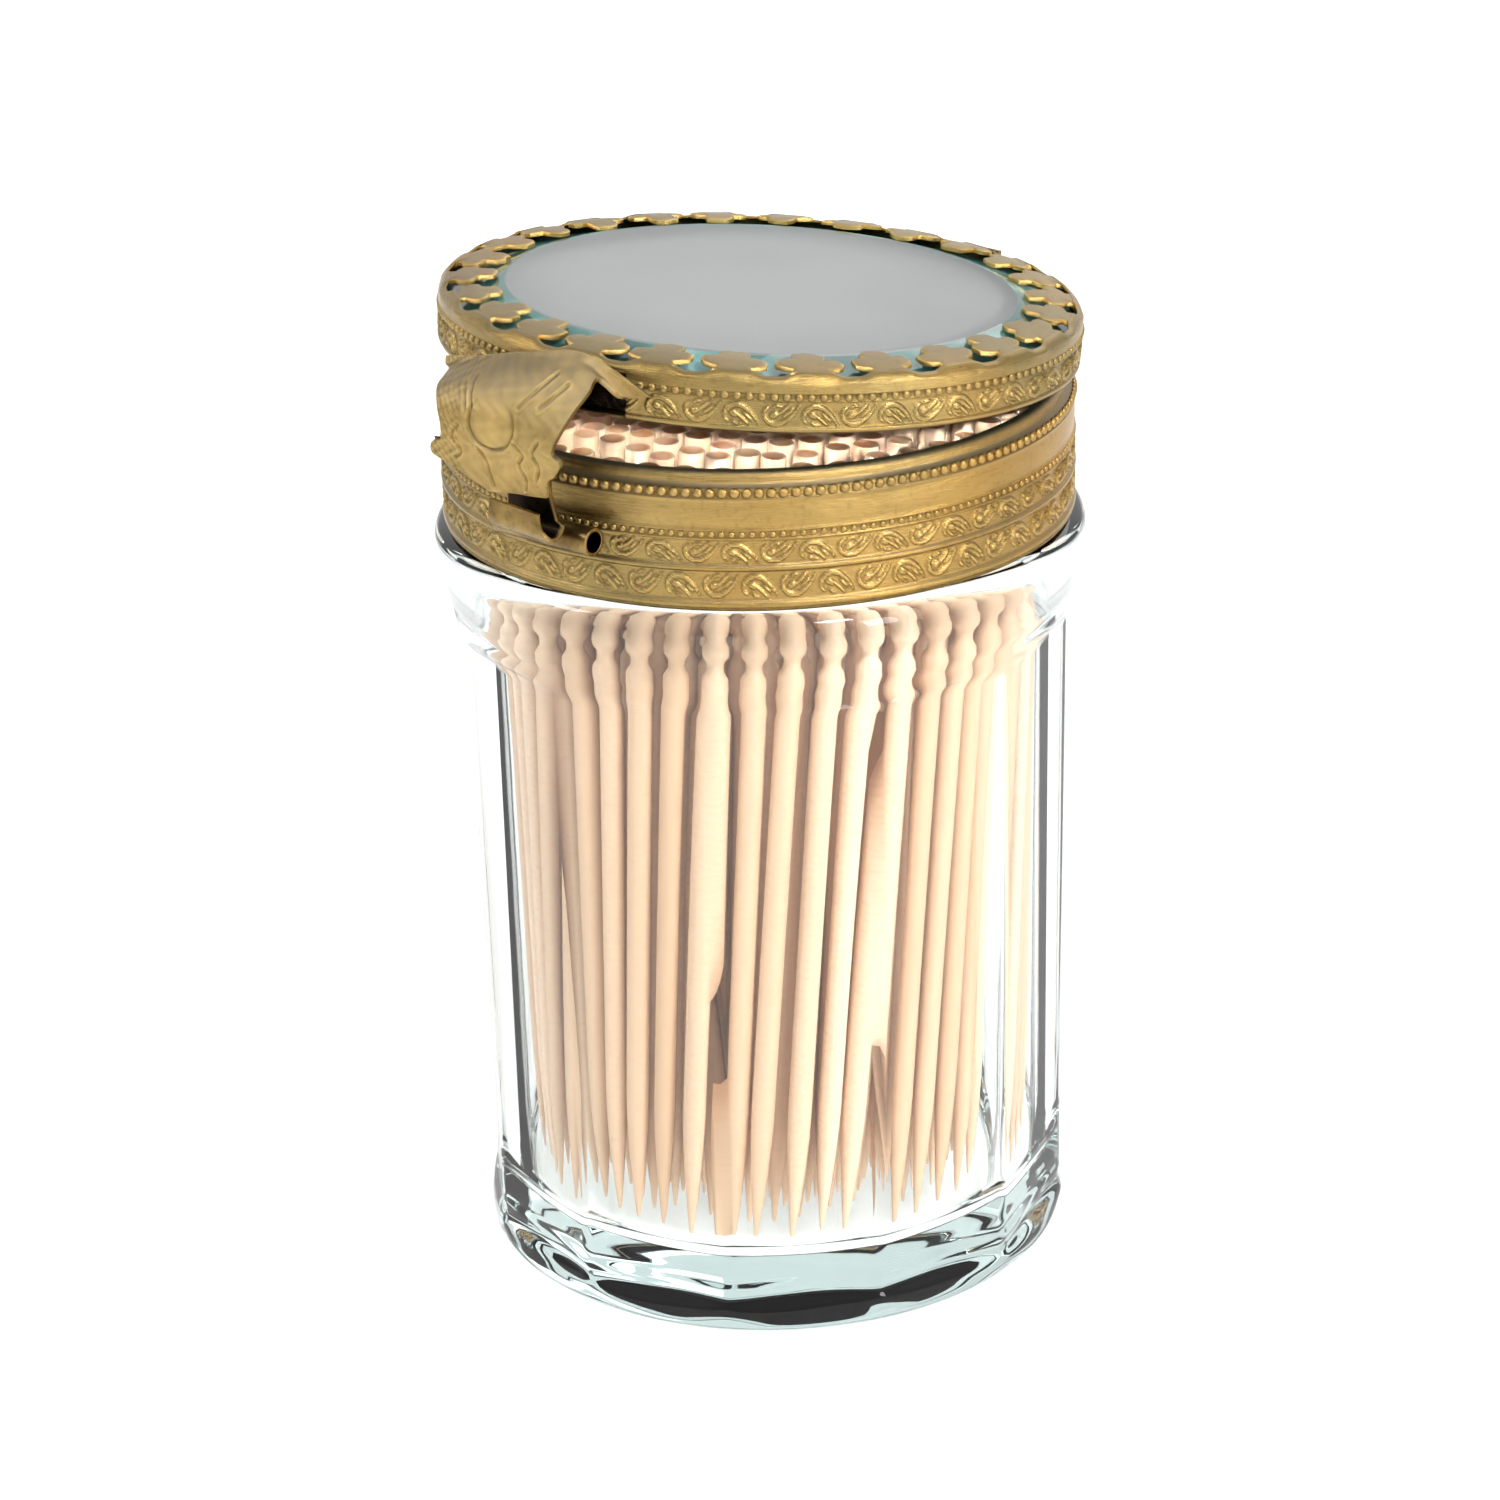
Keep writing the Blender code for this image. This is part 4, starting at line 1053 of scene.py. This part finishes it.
def leaf_emboss(across, height):
    """Height of the chasing at a place on the clasp leaf, in millimetres."""
    u = (across + 1.4) / 2.2
    v = (height + 1.2) / 1.95
    reach = np.hypot(u, v)
    closed = smooth_step(0.75, 0.25, v)
    level = 0.10 * np.clip(1 - reach ** 2, 0.0, 1.0)
    level -= 0.15 * closed * np.exp(-((reach - 1.0) / 0.055) ** 2)
    level += 0.07 * closed * np.exp(-((reach - 1.13) / 0.06) ** 2)
    for vein in LEAF_VEINS:
        away = np.full_like(across, 9.0)
        for x, up in fine_line(vein, 10):
            away = np.minimum(away, np.hypot(across - x, height - up))
        level -= 0.13 * np.exp(-(away / 0.11) ** 2)
        level += 0.06 * np.exp(-((away - 0.26) / 0.1) ** 2)
    stipple = np.sin(across * 8.3) * np.sin(height * 9.1 + across * 2.0)
    beaten = np.sin(across * 3.1 + 1.7 * np.sin(height * 2.3)) * np.sin(height * 3.7 + across)
    return level + 0.05 * stipple * smooth_step(-3.9, -5.2, across) + 0.025 * beaten


class DISPENSER_OT_clasp(bpy.types.Operator):
    """Build the clasp leaf, its hook and the catch tube"""

    bl_idname = "dispenser.clasp"
    bl_label = "Snap Clasp"

    def execute(self, context):
        stamped = brass_of(context.scene, "stamped_brass")
        plain = brass_of(context.scene, "plain_brass")
        leaf = self.lay_leaf(stamped)
        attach(leaf, "lid")
        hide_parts("clasp_leaf")
        hook = self.lay_hook(plain)
        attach(hook, "lid")
        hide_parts("clasp_hook")
        tube = self.lay_tube(plain)
        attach(tube, "jar")
        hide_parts("catch_tube")
        return {"FINISHED"}

    def lay_leaf(self, brass):
        coarse = []
        for reach, wrap, places in LEAF_ROWS:
            knots = [(x, -reach + wrap * x ** 2 / (2 * BEZEL_RADIUS), up) for x, up in places]
            coarse.append(fine_line(knots, 28))
        outer = fine_line(np.array(coarse), 10)
        rows, columns = outer.shape[:2]
        emboss = leaf_emboss(outer[:, :, 0], outer[:, :, 2])
        edge = np.ones((rows, columns))
        edge[:2] = edge[-2:] = 0.0
        edge[:, :2] = edge[:, -2:] = 0.0
        outer[:, :, 1] -= emboss * edge
        # Painted highlight, with wear, on the raised chasing and painted shade, with tarnish, in the
        # veins.
        relief = np.clip(0.62 + emboss * 1.6, 0.0, 1.0)
        count = rows * columns
        normal = np.cross(np.gradient(outer, axis=1), np.gradient(outer, axis=0))
        normal /= np.linalg.norm(normal, axis=-1, keepdims=True)
        normal *= np.sign(-normal[rows // 2, columns // 2, 1])
        inner = outer - normal * LEAF_THICKNESS
        points = np.concatenate((outer.reshape(-1, 3), inner.reshape(-1, 3)))
        front, places = grid_faces(rows, columns)
        back = grid_faces(rows, columns, offset=count)[0]
        faces = list(front) + [tuple(reversed(face)) for face in back]
        border = [row * columns for row in range(rows)]
        border += [(rows - 1) * columns + column for column in range(1, columns)]
        border += [row * columns + columns - 1 for row in range(rows - 2, -1, -1)]
        border += list(range(columns - 2, 0, -1))
        for first, second in zip(border, border[1:] + border[:1]):
            faces.append((second, first, first + count, second + count))
        points = seated(points, LID_SEAT)
        # Painted sky reflection on the faces that look up.
        patina = smooth_step(0.2, 0.75, upward(points, faces))
        # Painted shade on the underside of the leaf.
        full = np.concatenate((relief.ravel(), np.full(count, 0.3)))
        return lay_mesh(
            "clasp_leaf_chased", points, faces, brass, {"relief": full, "patina": patina},
            sharp=60,
        )

    def lay_hook(self, brass):
        reach = 27.44
        top = 2.4
        bottom = 7.0
        radius = 1.2
        thickness = 0.4
        line = [(-reach, -top - 2.0 * share) for share in (0.0, 0.5, 1.0)]
        line += [(-reach, -bottom + radius)]
        centre = (-reach - radius, -bottom - radius / 2)
        for a in np.linspace(0.0, -math.pi, 18):
            line.append((centre[0] + radius * math.cos(a), centre[1] + radius * math.sin(a)))
        lip = line[-1]
        line += [(lip[0] + 0.02, lip[1] + rise) for rise in (0.3, 0.6, 0.85, 1.0, 1.1)]
        line = np.array(line)
        along = np.gradient(line, axis=0)
        along /= np.linalg.norm(along, axis=1, keepdims=True)
        out = np.stack((-along[:, 1], along[:, 0]), axis=1)
        outline = []
        steps = 6
        for step in range(4 * steps):
            turn = TAU * step / (4 * steps)
            power = 0.35
            u = math.copysign(abs(math.cos(turn)) ** power, math.cos(turn))
            v = math.copysign(abs(math.sin(turn)) ** power, math.sin(turn))
            outline.append((u, v * thickness / 2))
        points = []
        heat = []
        soot = []
        count = len(line)
        for index, ((y, z), normal) in enumerate(zip(line, out)):
            along = index / (count - 1)
            left = -0.5 + 0.1 * smooth_step(0.8, 1.0, along)
            right = 3.7 + 1.4 * smooth_step(0.1, 0.2, along) - 0.7 * smooth_step(0.65, 0.9, along)
            for u, v in outline:
                shifted = np.array((y, z)) + normal * (v - thickness / 2)
                x = left + (right - left) * (u + 1) / 2
                points.append((x, shifted[0], shifted[1] - 0.06 * x * along))
                rim = max(float(smooth_step(0.80, 0.88, along)), 1.0 if abs(u) > 0.93 else 0.0)
                heat.append(0.25 + 0.75 * rim)
                # Painted shade on the inner face of the curl, in its trough, away from the tinted
                # rims.
                soot.append((1 - rim) * (0.96 if v < 0 else 0.0))
        rows = len(line)
        columns = len(outline)
        faces, places = grid_faces(rows, columns, wrap_columns=True)
        faces += end_caps(rows, columns)
        matrix = LID_HINGE_SIDE @ Matrix.Translation((0.0, -HINGE_REACH, 0.0))
        uv = np.array([(c / columns, r / rows) for place in places for c, r in place])
        uv = np.concatenate((uv, np.zeros((2 * columns, 2))))
        return lay_mesh(
            "clasp_hook_curled", seated(points, matrix), faces, brass,
            {"heat": heat, "soot": soot}, uv, sharp=50,
        )

    def lay_tube(self, brass):
        radius = (TUBE_HIGH[2] - TUBE_LOW[2]) / 2
        centre = (TUBE_LOW + TUBE_HIGH) / 2
        half = (TUBE_HIGH[0] - TUBE_LOW[0]) / 2
        profile = rounded_line(
            [(radius, half), (radius, -half), (radius - 0.3, -half), (radius - 0.3, half)], 0.1, 3
        )
        points, faces, uv = turned_grid(profile, 40)
        matrix = Matrix.Translation(tuple(centre)) @ Matrix.Rotation(math.pi / 2, 4, "Y")
        ends = np.array([abs(height) for radius, height in profile]) / half
        heat = np.repeat(0.15 + 0.3 * smooth_step(0.8, 1.0, ends), 40)
        # Painted shade inside the bore.
        bore = np.array([distance < radius - 0.27 for distance, height in profile], float)
        return lay_mesh(
            "catch_tube_drawn", seated(points, matrix), faces, brass,
            {"heat": heat, "soot": np.repeat(bore, 40)}, uv, sharp=60,
        )


class DISPENSER_OT_hinge(bpy.types.Operator):
    """Finish the hinge leaves and the pin"""

    bl_idname = "dispenser.hinge"
    bl_label = "Rear Hinge"

    def execute(self, context):
        brass = brass_of(context.scene, "plain_brass")
        for node in ("collar_hinge_leaf", "lid_hinge_leaf", "hinge_pin"):
            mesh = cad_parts[node].data
            mesh.materials.clear()
            mesh.materials.append(brass)
        return {"FINISHED"}


PICK_COUNT = 44
PICK_LENGTH = 65.0
PICK_RADIUS = 1.03
PICK_RING_TOP = 20.35
PICK_RING_FOOT = 18.3
PICK_TWIST = math.radians(14)
PICK_FOOT = 6.1


def pick_profile():
    """(radius share, height) from the point up, with the turned grooves of the head."""
    line = [(0.10, 0.0), (0.18, 0.3), (0.46, 2.8), (0.78, 6.4), (0.96, 9.6), (1.0, 11.5)]
    line += [(1.0, 30.0), (1.0, 49.0), (0.96, 49.3), (0.66, 49.8), (0.62, 50.2), (0.66, 50.6)]
    line += [(0.95, 51.0), (1.0, 51.4), (0.95, 51.9), (0.66, 52.3), (0.62, 52.7), (0.66, 53.1)]
    line += [(0.95, 53.5), (1.0, 53.9), (0.95, 54.4), (0.68, 54.8), (0.66, 55.2), (0.96, 55.8)]
    line += [(1.0, 56.2), (1.0, 63.3), (0.93, 63.5), (0.93, 63.7)]
    line += [(1.0, 63.9), (1.0, 64.85), (0.95, 65.0), (0.86, 65.0), (0.66, 64.97)]
    return line


class DISPENSER_OT_toothpicks(bpy.types.Operator):
    """Stand the turned picks in the jar"""

    bl_idname = "dispenser.toothpicks"
    bl_label = "Turned Toothpicks"

    def execute(self, context):
        settings = context.scene.dispenser_picks
        wood = birch(settings)
        chance = random.Random(21)
        for index in range(PICK_COUNT):
            angle = TAU * index / PICK_COUNT
            back = angle - PICK_TWIST * chance.uniform(0.9, 1.12)
            ring = PICK_RING_FOOT + chance.uniform(-0.6, 0.3)
            foot = (ring * math.sin(back), -ring * math.cos(back))
            head = (PICK_RING_TOP * math.sin(angle), -PICK_RING_TOP * math.cos(angle))
            points, faces, values, uv = self.one_pick(settings, chance, foot, head)
            pick = lay_mesh(f"pick_{index + 1:02d}", points, faces, wood, values, uv, sharp=50)
            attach(pick, "jar")
            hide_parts(f"toothpick_{index + 1:02d}")
        self.lay_inner(settings, chance, wood)
        return {"FINISHED"}

    def one_pick(self, settings, chance, foot, head):
        sides = settings.sides
        low = PICK_FOOT + chance.uniform(0.0, 0.5)
        start = Vector((*foot, low))
        aim = Vector((*head, 5.8 + PICK_LENGTH))
        turn = (aim - start).to_track_quat("Z", "Y").to_matrix()
        spin = chance.uniform(0.0, TAU)
        size = PICK_RADIUS * chance.uniform(0.94, 1.0)
        tone = chance.random()
        scorch = chance.uniform(0.6, 1.0)
        profile = pick_profile()
        points = []
        burn = []
        for share, height in profile:
            radius = size * share
            for side in range(sides):
                a = spin + TAU * side / sides
                uneven = 0.75 + 0.25 * math.cos(a + spin)
                glow = 0.0
                if height > 64.9:
                    glow = scorch * uneven * float(smooth_step(0.96, 0.7, share))
                place = turn @ Vector((radius * math.cos(a), radius * math.sin(a), height)) + start
                points.append(tuple(place))
                burn.append(glow)
        rows = len(profile)
        faces, places = grid_faces(rows, sides, wrap_columns=True)
        faces = [tuple(reversed(face)) for face in faces]
        uv = np.array([
            (column / sides, profile[min(row, rows - 1)][1] / 100.0)
            for place in places for column, row in reversed(place)
        ])
        faces.append(tuple(reversed(range(sides))))
        faces.append(tuple(range((rows - 1) * sides, rows * sides)))
        uv = np.concatenate((uv, np.full((2 * sides, 2), 0.5)))
        values = {"burn": burn, "tone": [tone] * len(points)}
        return points, faces, values, uv

    def lay_inner(self, settings, chance, wood):
        pitch = settings.inner_pitch
        reach = PICK_RING_TOP - 2 * PICK_RADIUS - 0.15
        taper = PICK_RING_FOOT / PICK_RING_TOP
        all_points = []
        all_faces = []
        all_uv = []
        burn = []
        tone = []
        rings = math.ceil(reach / pitch) + 1
        for row in range(-rings, rings + 1):
            for column in range(-rings, rings + 1):
                x = pitch * (column + row / 2) + chance.uniform(-0.12, 0.12)
                y = pitch * row * math.sqrt(3) / 2 + chance.uniform(-0.12, 0.12)
                if math.hypot(x, y) > reach:
                    continue
                turned = Matrix.Rotation(-PICK_TWIST, 2) @ Vector((x, y)) * taper
                points, faces, values, uv = self.one_pick(
                    settings, chance, (turned.x, turned.y), (x, y)
                )
                offset = len(all_points)
                all_points.extend(points)
                all_faces.extend(tuple(offset + corner for corner in face) for face in faces)
                all_uv.append(uv)
                burn.extend(values["burn"])
                tone.extend(values["tone"])
        stock = lay_mesh(
            "inner_picks", all_points, all_faces, wood, {"burn": burn, "tone": tone},
            np.concatenate(all_uv), sharp=50,
        )
        stock.visible_shadow = False
        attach(stock, "jar")
        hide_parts("toothpick_bundle")


AIM = Vector((0.0, 0.0, 0.040))
CAMERA_LENS = 109.3
CAMERA_ROLL = math.radians(1.43)
CAMERA_SHIFT = (-0.0105, 0.003)


class DISPENSER_OT_stage(bpy.types.Operator):
    """Set the floor, the light and the camera"""

    bl_idname = "dispenser.stage"
    bl_label = "Stage"

    def execute(self, context):
        settings = context.scene.dispenser_stage
        self.lay_floor(settings)
        self.set_world(context.scene)
        for name, place, size, power, aim, spread in (
            ("key_softbox", (0.58, -0.10, 0.20), (0.12, 0.34), 1.2, 0.06, 180),
            ("top_softbox", (0.38, -0.14, 0.50), (0.10, 0.10), 1.3, 0.07, 180),
            ("fill_softbox", (-0.35, -0.42, 0.48), (0.16, 0.16), 1.0, 0.06, 180),
            ("back_softbox", (-0.15, 0.60, 0.50), (0.40, 0.40), 0.7, 0.06, 180),
            ("gap_strip", (0.250, -0.262, 0.212), (0.04, 0.02), 0.013, 0.076, 8),
        ):
            lamp = bpy.data.lights.new(name, "AREA")
            lamp.shape = "RECTANGLE"
            lamp.size, lamp.size_y = size
            lamp.energy = power
            lamp.spread = math.radians(spread)
            item = bpy.data.objects.new(name, lamp)
            item.location = place
            away = Vector(place) - Vector((0.0, 0.0, aim))
            item.rotation_euler = away.to_track_quat("Z", "Y").to_euler()
            item.visible_glossy = item.visible_camera = name != "gap_strip"
            context.scene.collection.objects.link(item)
        self.set_camera(context.scene, settings)
        context.scene.view_settings.view_transform = "Standard"
        return {"FINISHED"}

    def lay_floor(self, settings):
        made = Recipe("paper_sweep")
        fibre = made.noise(900.0, 3.0)
        colour = tuple(settings.floor_colour)
        paper = made.ramp(fibre, [(0.3, tuple(c * 0.99 for c in colour)), (0.7, colour)])
        made.set(base_color=paper, roughness=0.9)
        path = made.add("ShaderNodeLightPath").outputs
        through = made.maths("MAXIMUM", path["Is Glossy Ray"], path["Is Transmission Ray"])
        seen = made.maths("MAXIMUM", path["Is Camera Ray"], made.maths("MULTIPLY", through, 0.6))
        glow = made.add("ShaderNodeEmission", {
            "Color": (1.0, 1.0, 1.0, 1.0), "Strength": made.maths("MULTIPLY", seen, 0.42),
        })
        both = made.add("ShaderNodeAddShader")
        made.feed(both.inputs[0], made.shader.outputs["BSDF"])
        made.feed(both.inputs[1], glow.outputs["Emission"])
        output = made.tree.nodes["Material Output"]
        made.feed(output.inputs["Surface"], both.outputs["Shader"])
        half = 1500.0
        points = [(-half, -half, 0.0), (half, -half, 0.0), (half, half, 0.0), (-half, half, 0.0)]
        floor = lay_mesh("paper_floor", points, [(0, 1, 2, 3)], made.material)
        floor.location.z = -0.0002

    def set_world(self, scene):
        """A white tent with a few softer bands round it, plain white behind the object."""
        world = bpy.data.worlds.new("studio_tent")
        world.use_nodes = True
        scene.world = world
        made = NodeSheet(world.node_tree)
        maths = made.maths
        place = made.add("ShaderNodeTexCoord")
        split = made.add("ShaderNodeSeparateXYZ", {"Vector": place.outputs["Generated"]})
        fade = made.grey(split.outputs["Z"], [(0.0, 0.72), (0.3, 1.0), (1.0, 0.80)])
        turn = maths("ARCTAN2", split.outputs["Y"], split.outputs["X"])
        aside = maths("SUBTRACT", turn, math.radians(10))
        broad = maths("MULTIPLY", maths("COSINE", aside), 0.08)
        wave = maths("MULTIPLY", maths("COSINE", maths("MULTIPLY", aside, 3.0)), 0.16)
        band = maths("ADD", maths("ADD", broad, wave), 0.84)
        tent = maths("MULTIPLY", fade, band)
        path = made.add("ShaderNodeLightPath").outputs
        through = maths("MULTIPLY", path["Is Transmission Ray"], 0.6)
        mirrored = maths("MULTIPLY", path["Is Glossy Ray"], 0.2)
        seen = maths("MAXIMUM", path["Is Camera Ray"], maths("MAXIMUM", through, mirrored))
        lit = maths("ADD", maths("MULTIPLY", tent, maths("SUBTRACT", 1.0, seen)), seen)
        made.feed(made.tree.nodes["Background"].inputs["Color"], lit)

    def set_camera(self, scene, settings):
        lens = bpy.data.cameras.new("photo_camera")
        lens.lens = CAMERA_LENS
        lens.sensor_width = 36.0
        lens.clip_start = 0.01
        lens.shift_x, lens.shift_y = CAMERA_SHIFT
        camera = bpy.data.objects.new("photo_camera", lens)
        level = math.cos(settings.elevation)
        out = Vector((
            math.sin(settings.azimuth) * level,
            -math.cos(settings.azimuth) * level,
            math.sin(settings.elevation),
        ))
        camera.location = AIM + out * settings.distance
        look = out.to_track_quat("Z", "Y").to_matrix().to_4x4()
        camera.rotation_euler = (look @ Matrix.Rotation(-CAMERA_ROLL, 4, "Z")).to_euler()
        scene.collection.objects.link(camera)
        scene.camera = camera


class DISPENSER_PT_panel(bpy.types.Panel):
    """Buttons that build the dispenser piece by piece"""

    bl_idname = "DISPENSER_PT_panel"
    bl_label = "Toothpick Dispenser"
    bl_space_type = "VIEW_3D"
    bl_region_type = "UI"
    bl_category = "Dispenser"

    def draw(self, context):
        layout = self.layout
        for group, names in (
            ("dispenser_jar", ("bore_radius", "floor_thickness", "glass_tint")),
            ("dispenser_brass", ("gold", "shade", "patina", "relief_height")),
            ("dispenser_picks", ("inner_pitch", "sides", "birch", "burnt")),
            ("dispenser_stage", ("azimuth", "elevation", "distance", "floor_colour")),
        ):
            box = layout.box()
            for name in names:
                box.prop(getattr(context.scene, group), name)
        for operator in OPERATORS:
            layout.operator(operator.bl_idname)


OPERATORS = (
    DISPENSER_OT_glass_jar,
    DISPENSER_OT_collar,
    DISPENSER_OT_lid_bezel,
    DISPENSER_OT_lid_glass,
    DISPENSER_OT_clasp,
    DISPENSER_OT_hinge,
    DISPENSER_OT_toothpicks,
    DISPENSER_OT_stage,
)
SETTINGS = (
    ("dispenser_jar", JarSettings),
    ("dispenser_brass", BrassSettings),
    ("dispenser_picks", PickSettings),
    ("dispenser_stage", StageSettings),
)


def register():
    for name, group in SETTINGS:
        bpy.utils.register_class(group)
        setattr(bpy.types.Scene, name, PointerProperty(type=group))
    for operator in OPERATORS:
        bpy.utils.register_class(operator)
    bpy.utils.register_class(DISPENSER_PT_panel)


def unregister():
    bpy.utils.unregister_class(DISPENSER_PT_panel)
    for operator in reversed(OPERATORS):
        bpy.utils.unregister_class(operator)
    for name, group in reversed(SETTINGS):
        delattr(bpy.types.Scene, name)
        bpy.utils.unregister_class(group)


def main():
    register()
    for operator in OPERATORS:
        group, name = operator.bl_idname.split(".")
        getattr(getattr(bpy.ops, group), name)()


if __name__ == "__main__":
    main()
